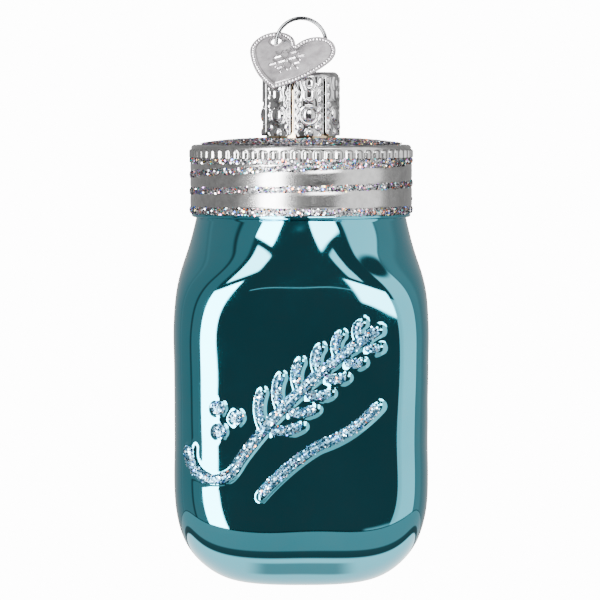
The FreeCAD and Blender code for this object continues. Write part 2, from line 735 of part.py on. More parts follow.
def snowflake():
    """Six barbed arms that stand off the tag's face."""
    body = new_body("snowflake")
    arm = body_sketch(body, "flake_arm", "XY_Plane")
    half = "flake_arm_width / 2"
    barb_end = f"( {half} + flake_barb )"
    right = [
        (half, "0"),
        (half, "flake_barb_start"),
        (barb_end, "flake_barb_start + flake_barb * 0.6"),
        (barb_end, "flake_barb_start + flake_barb * 0.6 + flake_arm_width"),
        (half, "flake_barb_start + flake_arm_width"),
        (half, "flake_arm_length"),
    ]
    polygon(arm, right + [("- " + across, up) for across, up in reversed(right)])
    pad = body.newObject("PartDesign::Pad", "arm")
    pad.Profile = arm
    pad.setExpression("Length", bind("tag_gauge + tag_rim_rise"))
    doc.recompute()
    pattern_round(body, [pad], "6", "arms")
    return body


def heart_tag():
    """A thin stamped heart with a raised edge, a snowflake and a hole in its left lobe."""
    outline = heart_outline()
    doc.recompute()
    inner = doc.addObject("Part::Offset2D", "heart_field")
    inner.Source = outline
    inner.setExpression("Value", bind("0 - tag_rim_width"))
    doc.recompute()
    plate = raised_slab("tag_plate", outline, "tag_gauge + tag_rim_rise", "0")
    field = raised_slab("tag_field", inner, "tag_rim_rise * 2", "tag_gauge")
    hole = doc.addObject("Part::Cylinder", "tag_hole")
    hole.setExpression("Radius", bind("tag_hole_radius"))
    hole.setExpression("Height", bind("tag_gauge * 4"))
    hole.setExpression("Placement.Base.x", bind("0 - tag_lobe_offset"))
    hole.setExpression("Placement.Base.y", bind("tag_hole_rise"))
    hole.setExpression("Placement.Base.z", bind("0 - tag_gauge"))
    dished = combine("Part::Cut", "tag_dished", plate, field)
    crested = combine("Part::MultiFuse", "tag_crested", dished, snowflake())
    tag = combine("Part::Cut", "heart_tag", crested, hole)
    turn = (FreeCAD.Rotation(vector(0, 1, 0), -size("tag_slope"))
            * FreeCAD.Rotation(vector(1, 0, 0), 90 - size("tag_lean"))
            * FreeCAD.Rotation(vector(0, 0, 1), -size("tag_turn")))
    middle_of_hole = vector(-size("tag_lobe_offset"), size("tag_hole_rise"), size("tag_gauge") / 2)
    hung_at = vector(-size("loop_radius"), 0, size("tag_hole_height"))
    tag.Placement = FreeCAD.Placement(hung_at - turn.multVec(middle_of_hole), turn)
    doc.recompute()
    return tag


# -------------------------------------------------------------------------------- building and writing
def check_model(nodes):
    """Stops unless every object was recomputed and every node has a sound solid."""
    failed = [o.Name for o in doc.Objects if "Invalid" in o.State or "Error" in o.State]
    if failed:
        raise RuntimeError(f"not recomputed: {failed}")
    for name, node in nodes.items():
        if node.Shape.isNull() or not node.Shape.isValid() or not node.Shape.Solids:
            raise RuntimeError(f"{name} has no sound solid")


def write_nodes(nodes):
    os.makedirs("parts", exist_ok=True)
    for name, node in nodes.items():
        node.Label = name
        node.Shape.exportStep(f"parts/{name}.step")
        print(f"{name}: {len(node.Shape.Solids)} solid(s), {node.Shape.Volume:.1f} mm3")


nodes = {coat.Name: coat for coat in sprig_coats}
nodes["glass_body"] = glass_shell()
nodes["lid_silver_coat"] = lacquer_coat()
nodes["hem_glitter_band"] = band("hem_glitter_band", "bead_height", "hem_band_high_height")
nodes["rim_glitter_band"] = band("rim_glitter_band", "rim_band_low_height", "knurl_low_height")
nodes["lid_top_glitter"] = top_glitter()
nodes["thread_glitter_band"] = thread_glitter()
nodes["ornament_cap"] = crown_cap()
nodes["hanger_wire"] = hanger_wire()
nodes["heart_tag"] = heart_tag()
doc.recompute()
check_model(nodes)
write_nodes(nodes)
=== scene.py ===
"""Looks of the hanging jar ornament: teal glass, a glittered silver lid, a crown cap, a wire and a tag.

Sizes are in millimetres in the CAD model's frame, and build() turns them into metres. Each glass or metal
piece is a fine mesh worked out from the same driving sizes as the CAD solid that it replaces.
"""
import math

import bpy
import numpy as np
from mathutils import Matrix, Vector
from mathutils.geometry import delaunay_2d_cdt


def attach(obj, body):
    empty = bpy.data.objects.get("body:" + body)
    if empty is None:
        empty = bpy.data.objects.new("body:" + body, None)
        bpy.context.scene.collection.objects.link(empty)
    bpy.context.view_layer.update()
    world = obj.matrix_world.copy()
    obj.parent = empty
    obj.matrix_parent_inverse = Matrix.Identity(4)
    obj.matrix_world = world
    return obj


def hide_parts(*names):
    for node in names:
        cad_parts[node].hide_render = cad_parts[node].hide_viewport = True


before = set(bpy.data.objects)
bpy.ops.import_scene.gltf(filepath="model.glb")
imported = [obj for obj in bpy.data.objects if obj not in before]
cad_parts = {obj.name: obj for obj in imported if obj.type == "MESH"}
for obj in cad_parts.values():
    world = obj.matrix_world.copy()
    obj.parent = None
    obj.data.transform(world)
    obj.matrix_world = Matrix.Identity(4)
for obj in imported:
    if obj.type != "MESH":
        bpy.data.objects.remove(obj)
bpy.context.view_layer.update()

MM = 0.001
TAU = 2 * math.pi
rng = np.random.default_rng(7)


# ------------------------------------------------ mesh tools
def build(name, points, groups, materials, body, replaced, slot):
    """Makes a piece from points in millimetres and groups of (faces, material index, smooth)."""
    corners = np.concatenate([faces.ravel() for faces, _, _ in groups])
    sizes = np.concatenate([np.full(len(faces), faces.shape[1]) for faces, _, _ in groups])
    mesh = bpy.data.meshes.new(name)
    mesh.vertices.add(len(points))
    mesh.vertices.foreach_set("co", (np.asarray(points) * MM).ravel())
    mesh.loops.add(len(corners))
    mesh.loops.foreach_set("vertex_index", corners.astype(np.int32))
    mesh.polygons.add(len(sizes))
    mesh.polygons.foreach_set("loop_start", np.concatenate([[0], np.cumsum(sizes)[:-1]]).astype(np.int32))
    slots = np.concatenate([np.full(len(faces), slot) for faces, slot, _ in groups])
    mesh.polygons.foreach_set("material_index", slots.astype(np.int32))
    smooth = np.concatenate([np.full(len(faces), flag) for faces, _, flag in groups])
    mesh.polygons.foreach_set("use_smooth", smooth)
    mesh.update(calc_edges=True)
    mesh.set_sharp_from_angle(angle=math.radians(50))
    for material in materials:
        mesh.materials.append(material)
    piece = add_object(name, mesh)
    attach(piece, body)
    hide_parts(*replaced)
    return piece


def grid_faces(rows, columns, wrap=True):
    """Quads of a grid whose rows go up and whose columns go round anticlockwise, so that they face out."""
    i, j = np.meshgrid(np.arange(rows - 1), np.arange(columns if wrap else columns - 1), indexing="ij")
    k = (j + 1) % columns
    quads = np.stack([i * columns + j, i * columns + k, (i + 1) * columns + k, (i + 1) * columns + j], -1)
    return quads.reshape(-1, 4)


def fan(centre, ring):
    """Triangles from a centre point to a closed ring of indices."""
    return np.stack([np.full(len(ring), centre), ring, np.roll(ring, -1)], -1)


def ring_faces(rows, columns):
    """Quads of a grid that closes both ways, such as the skin of a hoop."""
    quads = grid_faces(rows + 1, columns)
    return quads % (rows * columns)


def tube(sections):
    """Points and faces of a closed tube through sections, each a ring of points, with round caps."""
    rows, columns = sections.shape[:2]
    points = np.concatenate([sections.reshape(-1, 3), sections[[0, -1]].mean(1)])
    first, last = np.arange(columns), np.arange(columns) + (rows - 1) * columns
    caps = np.concatenate([fan(rows * columns, first[::-1]), fan(rows * columns + 1, last)])
    return points, grid_faces(rows, columns), caps


def smoothstep(x):
    x = np.clip(x, 0, 1)
    return x * x * (3 - 2 * x)


def ridge(distance, half=1):
    """A rounded ridge: 1 at no distance from its line, 0 from half away."""
    return np.sqrt(np.clip(1 - (distance / half) ** 2, 0, 1))


def unit(vectors):
    return vectors / np.linalg.norm(vectors, axis=-1, keepdims=True)


def spokes(angles):
    """Flat unit vectors at angles from +X."""
    return np.stack([np.cos(angles), np.sin(angles)], -1)


def full_turn(count):
    """Evenly spaced angles round a circle."""
    return np.arange(count) * TAU / count


def hoops(angles, side, other):
    """Unit circles, each in the plane of its own side and other vectors."""
    return np.cos(angles)[:, None] * side[:, None] + np.sin(angles)[:, None] * other[:, None]


def polar(radius, angles, height):
    """Points at a radius and an angle round the Z axis, and at a height."""
    return np.stack(np.broadcast_arrays(radius * np.cos(angles), radius * np.sin(angles), height), -1)


def run_along(line):
    """The distance from a line's start to each of its points, along it."""
    return np.concatenate([[0], np.cumsum(np.linalg.norm(np.diff(line, axis=0), axis=1))])


def add_object(name, data):
    added = bpy.data.objects.new(name, data)
    bpy.context.scene.collection.objects.link(added)
    return added


def spline(knots, count):
    """A natural cubic spline through points, evaluated at count evenly spaced places along it."""
    knots = np.asarray(knots, float)
    at = run_along(knots)
    gaps = np.diff(at)
    n = len(knots)
    matrix = np.eye(n)
    right = np.zeros_like(knots)
    for i in range(1, n - 1):
        matrix[i, i - 1:i + 2] = gaps[i - 1], 2 * (gaps[i - 1] + gaps[i]), gaps[i]
        right[i] = 6 * ((knots[i + 1] - knots[i]) / gaps[i] - (knots[i] - knots[i - 1]) / gaps[i - 1])
    bend = np.linalg.solve(matrix, right)
    place = np.linspace(0, at[-1], count)
    i = np.clip(np.searchsorted(at, place, side="right") - 1, 0, n - 2)
    gap = gaps[i][:, None]
    a = ((at[i + 1] - place) / gaps[i])[:, None]
    b = 1 - a
    cubic = ((a ** 3 - a) * bend[i] + (b ** 3 - b) * bend[i + 1]) * gap ** 2 / 6
    return a * knots[i] + b * knots[i + 1] + cubic


def gap_to(points, line):
    """The distance from each point to the nearest point of a line."""
    nearest = np.full(len(points), 1e9)
    for start in range(0, len(line), 64):
        gap = np.linalg.norm(points[:, None] - line[None, start:start + 64], axis=-1).min(1)
        nearest = np.minimum(nearest, gap)
    return nearest


def inside(points, loop):
    """Whether each flat point is inside a closed loop."""
    x, y = points[:, :1], points[:, 1:]
    ax, ay = loop.T
    bx, by = np.roll(loop, -1, 0).T
    spans = (ay > y) != (by > y)
    drop = np.where(by == ay, 1.0, by - ay)
    crossing = x < (bx - ax) * (y - ay) / drop + ax
    return (spans & crossing).sum(1) % 2 == 1


def panel(outline, holes, spacing):
    """Points and triangles that fill a flat outline, less its holes, at about an even spacing."""
    loops = [outline, *holes]
    low, high = outline.min(0), outline.max(0)
    grid = np.stack(np.meshgrid(*(np.arange(a, b, spacing) for a, b in zip(low, high))), -1).reshape(-1, 2)
    keep = inside(grid, outline)
    for loop in loops:
        keep &= gap_to(grid, loop) > 0.6 * spacing
    for hole in holes:
        keep &= ~inside(grid, hole)
    edges = []
    for loop in loops:
        start = len(edges)
        edges += [(start + i, start + (i + 1) % len(loop)) for i in range(len(loop))]
    points = np.concatenate([*loops, grid[keep]])
    found = delaunay_2d_cdt([Vector(p) for p in points], edges, [], 0, 1e-7, False)
    points, triangles = np.array(found[0]), np.array(found[2])
    a, b, c = (points[triangles[:, i]] for i in range(3))
    middle = (a + b + c) / 3
    keep = inside(middle, outline)
    for hole in holes:
        keep &= ~inside(middle, hole)
    turn = (b - a)[:, 0] * (c - a)[:, 1] - (b - a)[:, 1] * (c - a)[:, 0]
    triangles[turn < 0] = triangles[turn < 0][:, ::-1]
    return points, triangles[keep]


def sheet(upper, lower, triangles):
    """Points and faces of a closed sheet between an upper and a lower face that share their triangles."""
    count = len(upper)
    edges = np.concatenate([triangles[:, [0, 1]], triangles[:, [1, 2]], triangles[:, [2, 0]]])
    known = set(map(tuple, edges.tolist()))
    border = np.array([edge for edge in edges.tolist() if (edge[1], edge[0]) not in known])
    sides = np.stack([border[:, 1], border[:, 0], border[:, 0] + count, border[:, 1] + count], -1)
    return np.concatenate([upper, lower]), np.concatenate([triangles, triangles[:, ::-1] + count]), sides


def gather(parts):
    """Joins (points, list of face arrays) parts into one set of points and one list of face arrays."""
    points, faces, start = [], [], 0
    for part, groups in parts:
        points.append(part)
        faces += [group + start for group in groups]
        start += len(part)
    return np.concatenate(points), faces


def flakes(places, normals, radius, lean):
    """Loose glitter: thin hexagons, each leaning its own way, closed below by a shallow point."""
    count = len(places)
    up = unit(normals + rng.normal(size=(count, 3)) * lean)
    side = unit(np.cross(up, rng.normal(size=(count, 3))))
    other = np.cross(up, side)
    reach = radius * rng.uniform(0.7, 1.25, count)
    rim = places[:, None] + reach[:, None, None] * hoops(full_turn(6), side, other)
    foot = places - up * reach[:, None] * 0.6
    points = np.concatenate([rim, foot[:, None]], 1).reshape(-1, 3)
    first = np.arange(count)[:, None] * 7
    hexagons = first + np.arange(6)
    following = first + np.arange(1, 7) % 6
    cones = np.stack([following, hexagons, np.broadcast_to(first + 6, (count, 6))], -1)
    return points, hexagons, cones.reshape(-1, 3)


# --------------------------------------------- driving sizes
HEIGHTS = [0.0, 0.9, 3.0, 6.6, 12.0, 24.0, 38.0, 48.0, 54.0, 59.0, 64.3]
HALF_WIDTHS = [10.2, 13.8, 17.1, 20.0, 21.8, 22.3, 22.4, 22.3, 21.5, 19.9, 18.6]
CORNERS = [8.0, 9.9, 11.0, 10.8, 9.8, 9.2, 9.0, 9.6, 12.5, 16.2, 18.4]
BEAD_RADIUS = 19.4
BEAD_TOP = 65.1
SKIRT = 19.3
RIM_TOP = 76.9
CROWN_FOOT = 77.9
CROWN_RADIUS = 6.2
NECK_BORE = 5.3
NECK_TOP = 88.8
COAT = 0.15
HEM_TOP = 66.4
RIM_BAND = (73.9, 74.9)
RIB_COUNT = 64
RIB_TOP = 76.45
RIB_RADIUS = 19.85
THREAD_START = 67.6
THREAD_PITCH = 2.8
THREAD_TURNS = 1.95
THREAD_WIDTH = 1.2
THREAD_CLIMB = 1.0
THREAD_CLIMB_START = 1.42
THREAD_CLIMB_TURNS = 0.42
GROOVE_HALF = 1.35
COAT_RISE = 0.36
RECESS_DEPTH = 0.21
LID_EDGE_RADIUS = 18.475
LID_EDGE_HEIGHT = 77.05
LID_SLOPE = 0.0815
LID_DOME = 1.1
TOP_BAND_RADIUS = 17.6

CAP_RADIUS = 6.7
CAP_TOP = 90.0
CAP_FOOT = 78.75
CAP_CORNER = 1.0
CAP_GAUGE = 0.25
LEAF_COUNT = 7
LEAF_TURN = math.radians(12.2)
SLIT_WIDTH = 0.4
BOSS_HEIGHT = 82.4

WIRE_RADIUS = 0.32
WIRE_SWELL = 1.1
LOOP_RADIUS = 4.4
LOOP_HEIGHT = 95.1
LEG_OFFSET = 2.2
LEG_HOLE = 0.5
SHOULDER_BEND = 0.7
FLARE_BEND = 1.5
FLARE_HEIGHT = 87.8
FLARE_ANGLE = math.radians(19.4)
LEG_END = (-4.65, 80.6)

TAG_GAUGE = 0.3
TAG_LOBE = (3.9, 2.6)
TAG_LOBE_RADIUS = 4.1
TAG_SIDE_RADIUS = 18.0
TAG_TIP = 7.1
TAG_HOLE = (-3.9, 4.3)
TAG_HOLE_RADIUS = 0.95
TAG_HUNG_AT = (-4.4, 0.0, 95.35)
TAG_TILTS = ((1, -15.6), (0, 41.7), (2, -32.5))

RELIEF_RISE = 0.45
RELIEF_REACH = 1.26
RELIEF_FLANK = 0.90
STEM_STROKES = [
    ((-19.0, 25.2), (-16.4, 19.8), -1.0),
    ((-16.4, 19.8), (-10.6, 22.4), -1.4),
    ((-10.6, 22.4), (13.6, 45.4), 1.6),
]
UNDERLINE_STROKES = [((-6.8, 16.8), (3.4, 25.4), 0.5), ((3.4, 25.4), (13.6, 32.4), -0.9)]
BERRIES = [(-13.9, 28.0), (-11.0, 30.4), (-14.1, 32.0)]
BERRY_RADIUS = 1.25
BERRY_SWELL = 0.55
NEEDLE_PAIRS = 6
NEEDLE_FIRST, NEEDLE_LAST = 0.20, 0.86
NEEDLE_LONG, NEEDLE_SHORT = 7.0, 4.0
NEEDLE_SPREAD = math.radians(40)
NEEDLE_GAP = 1.7
NEEDLE_BULGE = 0.5


# ------------------------------------------------- materials
def put(tree, value, socket):
    """Links a socket of the node tree to another, or sets it to a value."""
    if isinstance(value, bpy.types.NodeSocket):
        tree.links.new(value, socket)
    else:
        socket.default_value = value


def feed(tree, node, **inputs):
    """Links or sets a node's inputs by name, with _ for a space."""
    for name, value in inputs.items():
        put(tree, value, node.inputs[name.replace("_", " ")])


def add_node(tree, kind, **inputs):
    node = tree.nodes.new("ShaderNode" + kind)
    feed(tree, node, **inputs)
    return node


def shader(name, **inputs):
    """A material, its node tree and its Principled shader, whose inputs are given."""
    material = bpy.data.materials.new(name)
    material.use_nodes = True
    tree = material.node_tree
    principled = tree.nodes["Principled BSDF"]
    feed(tree, principled, **inputs)
    return material, tree, principled


def object_coordinates(tree):
    return add_node(tree, "TexCoord").outputs["Object"]


def noise(tree, place, scale, detail=3.0):
    return add_node(tree, "TexNoise", Vector=place, Scale=scale, Detail=detail).outputs["Fac"]


def bump(tree, height, strength, distance):
    return add_node(tree, "Bump", Height=height, Strength=strength, Distance=distance).outputs["Normal"]


def map_range(tree, value, low, high, new_low, new_high):
    limits = {"From_Min": low, "From_Max": high, "To_Min": new_low, "To_Max": new_high}
    return add_node(tree, "MapRange", Value=value, **limits).outputs["Result"]


def ramp(tree, value, stops, constant=False):
    """A colour ramp: stops are (position, colour)."""
    node = add_node(tree, "ValToRGB", Fac=value)
    elements = node.color_ramp.elements
    if constant:
        node.color_ramp.interpolation = "CONSTANT"
    while len(elements) < len(stops):
        elements.new(0.5)
    for element, (position, colour) in zip(elements, stops):
        element.position = position
        element.color = (*colour, 1)
    return node.outputs["Color"]


def teal_mirror():
    """Silvered glass under a teal lacquer. Above the lid the bare neck shows brownish silvering."""
    material, tree, principled = shader(
        "teal_mirror_glass", Metallic=1.0, Specular_Tint=(0.25, 0.62, 0.70, 1),
        Coat_Weight=1.0, Coat_Roughness=0.02)
    place = object_coordinates(tree)
    teal = ramp(tree, noise(tree, place, 60.0),
                [(0.3, (0.020, 0.275, 0.355)), (0.7, (0.030, 0.305, 0.390))])
    brownish = (0.33, 0.25, 0.15, 1)
    lacquer_top, neck_foot = 0.0770, 0.0785
    level = add_node(tree, "SeparateXYZ", Vector=place).outputs["Z"]
    mix = add_node(tree, "Mix")
    mix.data_type = "RGBA"
    put(tree, map_range(tree, level, lacquer_top, neck_foot, 0.0, 1.0), mix.inputs[0])
    put(tree, teal, mix.inputs[6])
    put(tree, brownish, mix.inputs[7])
    rough = map_range(tree, noise(tree, place, 350.0, 6.0), 0.35, 0.75, 0.03, 0.075)
    feed(tree, principled, Base_Color=mix.outputs[2], Roughness=rough)
    return material


def silver_lacquer():
    """Sprayed silver, mottled and slightly grainy."""
    material, tree, principled = shader(
        "silver_lacquer", Metallic=1.0, Coat_Weight=0.1, Coat_Roughness=0.25)
    place = object_coordinates(tree)
    grain = noise(tree, place, 6000.0, 4.0)
    colour = ramp(tree, noise(tree, place, 900.0, 5.0),
                  [(0.3, (0.33, 0.328, 0.325)), (0.7, (0.42, 0.418, 0.415))])
    rough = map_range(tree, grain, 0.3, 0.7, 0.17, 0.27)
    feed(tree, principled, Base_Color=colour, Roughness=rough, Normal=bump(tree, grain, 0.10, 0.00005))
    return material


def glitter_base(name, dark, light):
    """Fine glitter set in varnish, under the loose flakes: facets of a cell pattern, tilted and toned."""
    material, tree, principled = shader(name, Metallic=0.9, Roughness=0.3)
    cells = add_node(tree, "TexVoronoi", Vector=object_coordinates(tree), Scale=4200.0)
    tone = add_node(tree, "SeparateColor", Color=cells.outputs["Color"])
    colour = ramp(tree, tone.outputs["Red"], [(0.1, dark), (0.9, light)])
    facets = bump(tree, tone.outputs["Green"], 0.9, 0.0001)
    feed(tree, principled, Base_Color=colour, Normal=facets)
    return material


def glitter_flake(name, stops, roughness):
    """Each loose flake has one tone of its own."""
    material, tree, principled = shader(name, Metallic=1.0, Roughness=roughness)
    flake = add_node(tree, "NewGeometry").outputs["Random Per Island"]
    feed(tree, principled, Base_Color=ramp(tree, flake, stops, constant=True))
    return material


def polished_sheet(name, colour, dark, roughness):
    """Stamped sheet metal, slightly uneven, a little darker in patches."""
    material, tree, principled = shader(name, Metallic=1.0)
    place = object_coordinates(tree)
    cloud = noise(tree, place, 700.0, 5.0)
    feed(tree, principled,
         Base_Color=ramp(tree, cloud, [(0.3, dark), (0.65, colour)]),
         Roughness=map_range(tree, cloud, 0.3, 0.7, roughness * 1.4, roughness * 0.8),
         Normal=bump(tree, noise(tree, place, 2500.0, 3.0), 0.15, 0.00005))
    return material


SILVER_TONES = [
    (0.00, (0.50, 0.50, 0.51)), (0.25, (0.20, 0.20, 0.21)), (0.46, (0.92, 0.92, 0.92)),
    (0.56, (0.06, 0.06, 0.07)), (0.73, (0.05, 0.62, 0.62)), (0.78, (0.90, 0.24, 0.08)),
    (0.835, (0.50, 0.22, 0.70)), (0.88, (0.08, 0.18, 0.75)), (0.925, (0.90, 0.32, 0.42)),
    (0.97, (0.85, 0.70, 0.20)),
]
ICE_TONES = [
    (0.00, (0.15, 0.36, 0.47)), (0.24, (0.05, 0.18, 0.28)), (0.46, (0.85, 0.93, 0.98)),
    (0.56, (0.015, 0.06, 0.12)), (0.78, (0.04, 0.30, 0.48)), (0.86, (0.05, 0.15, 0.46)),
    (0.91, (0.38, 0.62, 0.74)), (0.965, (0.80, 0.26, 0.12)), (0.985, (0.40, 0.26, 0.58)),
]

teal = teal_mirror()
lacquer = silver_lacquer()
silver_base = glitter_base("silver_glitter_base", (0.03, 0.03, 0.035), (0.34, 0.34, 0.345))
silver_flake = glitter_flake("silver_glitter_flake", SILVER_TONES, 0.16)
ice_base = glitter_base("ice_glitter_base", (0.01, 0.05, 0.09), (0.18, 0.38, 0.50))
ice_flake = glitter_flake("ice_glitter_flake", ICE_TONES, 0.16)
cap_sheet = polished_sheet("cap_sheet_metal", (0.58, 0.58, 0.585), (0.20, 0.20, 0.205), 0.11)
tag_sheet = polished_sheet("tag_sheet_metal", (0.90, 0.87, 0.89), (0.52, 0.48, 0.51), 0.17)
wire_metal = polished_sheet("spring_wire_metal", (0.17, 0.175, 0.18), (0.07, 0.073, 0.076), 0.14)


# ------------------------------------------- the jar's glass
def columns_round():
    """Polar angles of the jar's columns, anticlockwise, twice as close across the front."""
    front = np.radians(np.arange(222, 318, 0.5))
    rest = np.radians(np.arange(-42, 222, 1.0))
    return np.concatenate([rest, front])


def exponent(half, corner):
    """The power of the superellipse that reaches as far along the diagonal as a rounded square does."""
    reach = ((half - corner) * math.sqrt(2) + corner) / (half * math.sqrt(2))
    return -1 / np.log2(np.minimum(reach, 0.9999))


def ring(half, corner, angles):
    """The section of the jar, its radius at each polar angle."""
    power = exponent(half, corner)
    return half / (np.abs(np.cos(angles)) ** power + np.abs(np.sin(angles)) ** power) ** (1 / power)


def wall_profile():
    """Half width, corner radius and height of each row of the jar's wall, from the base to the throat."""
    knots = [(6.5, 5.2, 0.0)] + list(zip(HALF_WIDTHS, CORNERS, HEIGHTS))
    rows = spline(knots, 186)
    rows[:, 2] = np.maximum.accumulate(np.maximum(rows[:, 2], 0))
    return rows


profile = wall_profile()


def front_depth(x, height):
    """How far the plain front wall stands from the middle plane at (x, height)."""
    order = np.argsort(profile[:, 2])
    half = np.interp(height, profile[order, 2], profile[order, 0])
    corner = np.interp(height, profile[order, 2], profile[order, 1])
    power = exponent(half, corner)
    return half * np.maximum(1 - np.abs(x / half) ** power, 1e-6) ** (1 / power)


def on_front(x, height, rise):
    """Points that stand rise off the plain front wall."""
    step = 0.05
    depth = front_depth(x, height)
    slope_x = (front_depth(x + step, height) - front_depth(x - step, height)) / (2 * step)
    slope_z = (front_depth(x, height + step) - front_depth(x, height - step)) / (2 * step)
    normal = unit(np.stack([-slope_x, -np.ones_like(depth), -slope_z], -1))
    return np.stack([x, -depth, height], -1) + normal * np.asarray(rise)[..., None]


def arc_line(start, end, bulge, spacing=0.2):
    """Points along an arc that bulges to the left of its direction."""
    start, end = np.array(start), np.array(end)
    chord = end - start
    length = np.linalg.norm(chord)
    left = np.array([-chord[1], chord[0]]) / length
    half_turn = 2 * math.atan(2 * bulge / length)
    count = max(8, int(length / spacing))
    share = np.linspace(-1, 1, count)
    radius = length / (2 * math.sin(half_turn))
    along = radius * np.sin(half_turn * share)
    out = radius * (np.cos(half_turn * share) - math.cos(half_turn))
    return (start + end) / 2 + along[:, None] * chord / length + out[:, None] * left


def needle_lines():
    """The needles, in pairs up the long stem stroke, shorter towards the tip."""
    stem = arc_line(*STEM_STROKES[-1], spacing=0.02)
    lines = []
    for i in range(NEEDLE_PAIRS):
        share = i / (NEEDLE_PAIRS - 1)
        at = int((NEEDLE_FIRST + share * (NEEDLE_LAST - NEEDLE_FIRST)) * (len(stem) - 1))
        root = stem[at]
        heading = math.atan2(*(stem[at + 1] - stem[at - 1])[::-1])
        length = NEEDLE_LONG + share * (NEEDLE_SHORT - NEEDLE_LONG)
        for side in (1, -1):
            way = spokes(heading + side * NEEDLE_SPREAD)
            lines.append(arc_line(root + way * NEEDLE_GAP, root + way * length, side * NEEDLE_BULGE))
    return lines


def joined(strokes):
    """One line through strokes that follow each other, its corners eased."""
    line = np.concatenate([arc_line(*stroke) for stroke in strokes])
    keep = np.concatenate([[True], np.linalg.norm(np.diff(line, axis=0), axis=1) > 1e-6])
    line = line[keep]
    for _ in range(12):
        line[1:-1] = (line[:-2] + 2 * line[1:-1] + line[2:]) / 4
    return line


stem_line = joined(STEM_STROKES)
underline_line = joined(UNDERLINE_STROKES)
needles = needle_lines()


def relief_height(points):
    """How far the moulded strokes raise the glass at points (x, height)."""
    lines = [stem_line, underline_line, *needles, np.array(BERRIES)]
    swells = [0.0] * (len(lines) - 1) + [BERRY_SWELL]
    nearest = np.min([gap_to(points, line) - swell for line, swell in zip(lines, swells)], axis=0)
    return RELIEF_RISE * smoothstep((RELIEF_REACH - nearest) / RELIEF_FLANK)


def waviness(points):
    """The slight unevenness of blown glass."""
    total = np.zeros(len(points))
    for wavelength, amount in ((23.0, 0.030), (13.0, 0.016), (7.5, 0.007)):
        for _ in range(3):
            way = unit(rng.normal(size=3))
            total += amount * np.sin(TAU * (points @ way) / wavelength + rng.uniform(0, TAU))
    return total


def glass_body():
    """The hollow shell: its wall with the raised strokes, the turned parts above it, and its inside."""
    angles = columns_round()
    count = len(angles)
    wall = np.stack([polar(ring(half, corner, angles), angles, z) for half, corner, z in profile])
    normals = unit(np.cross(np.roll(wall, -1, 1) - np.roll(wall, 1, 1), np.gradient(wall, axis=0)))
    flat = wall.reshape(-1, 3)
    fade = smoothstep(flat[:, 2] / 4) * smoothstep((64.0 - flat[:, 2]) / 6)
    rise = waviness(flat) * fade
    front = (flat[:, 1] < -5) & (flat[:, 2] > 12) & (flat[:, 2] < 52)
    rise[front] += relief_height(flat[front][:, [0, 2]])
    wall = (flat + normals.reshape(-1, 3) * rise[:, None]).reshape(wall.shape)

    bead = [(18.72, 64.42), (19.10, 64.40), (19.30, 64.48), (BEAD_RADIUS, 64.66), (BEAD_RADIUS, 64.85),
            (19.32, 65.02), (SKIRT, BEAD_TOP)]
    hidden = [(SKIRT, RIM_TOP - 0.9), (SKIRT - 0.9, RIM_TOP), (CROWN_RADIUS, CROWN_FOOT)]
    neck = [(CROWN_RADIUS, 79.0), (CROWN_RADIUS, 83.0), (CROWN_RADIUS, 88.45), (6.1, 88.70),
            (5.85, NECK_TOP), (5.55, 88.77), (5.36, 88.6), (NECK_BORE, 88.3)]
    bore = [(NECK_BORE, 83.0), (NECK_BORE, 77.4), (5.7, 77.0), (17.5, 76.0), (18.4, 75.1), (18.4, 65.2),
            (17.6, 64.2), (19.0, 59.0), (21.4, 50.0), (21.6, 30.0), (21.0, 12.0), (17.6, 3.8)]
    turned = [polar(radius, angles, z) for radius, z in bead + hidden + neck + bore]
    rows = np.concatenate([wall, np.stack(turned)])
    points = np.concatenate([rows.reshape(-1, 3), [[0, 0, 0.25], [0, 0, 1.4]]])
    last = len(rows) * count
    quads = grid_faces(len(rows), count)
    base = fan(last, np.arange(count)[::-1])
    floor = fan(last + 1, np.arange(count) + (len(rows) - 1) * count)
    return build("glass_jar", points, [(quads, 0, True), (base, 0, True), (floor, 0, True)], [teal],
                 "glass", ["glass_body"], "teal_mirror_glass")


glass_body()


# ----------------------------------------- the lid's lacquer
def thread_height(turns):
    """The middle height of the screw groove, from +X anticlockwise; its end climbs into the rim band."""
    climb = smoothstep((turns - THREAD_CLIMB_START) / THREAD_CLIMB_TURNS)
    return THREAD_START + THREAD_PITCH * turns + THREAD_CLIMB * climb


def lid_radius(angles, height):
    """The lacquered skirt: full bands between recesses for the screw groove, the hem and the rim band."""
    share = np.mod(angles, TAU) / TAU
    passes = [thread_height(share), thread_height(np.minimum(share + 1, THREAD_TURNS))]
    gap = np.min([np.abs(height - middle) for middle in passes], axis=0)
    groove = (0.5 + 0.5 * np.cos(math.pi * np.clip(gap / GROOVE_HALF, 0, 1))) ** 1.4
    hem = smoothstep((HEM_TOP + 0.25 - height) / 0.5)
    rim = smoothstep((height - RIM_BAND[0] + 0.25) / 0.5)
    recess = np.maximum(np.maximum(groove, hem), rim)
    radius = SKIRT + COAT_RISE - RECESS_DEPTH * recess
    across = np.mod(angles * RIB_COUNT / TAU, 1) * 2 - 1
    over = np.maximum(0, height - RIB_TOP + 0.45) / 0.45
    arch = np.sqrt(np.clip(1 - (across / 0.72) ** 2 - over ** 2, 0, 1))
    ribbed = (height > RIM_BAND[1]) & (height < RIB_TOP + 0.01)
    return np.where(ribbed, radius + (RIB_RADIUS - SKIRT - COAT) * arch, radius)


def lid_cone(radius):
    """The height of the lacquered top: a shallow cone, slightly domed."""
    inward = LID_EDGE_RADIUS - radius
    share = inward / (LID_EDGE_RADIUS - CROWN_RADIUS)
    return LID_EDGE_HEIGHT + inward * LID_SLOPE + LID_DOME * share * (1 - share)


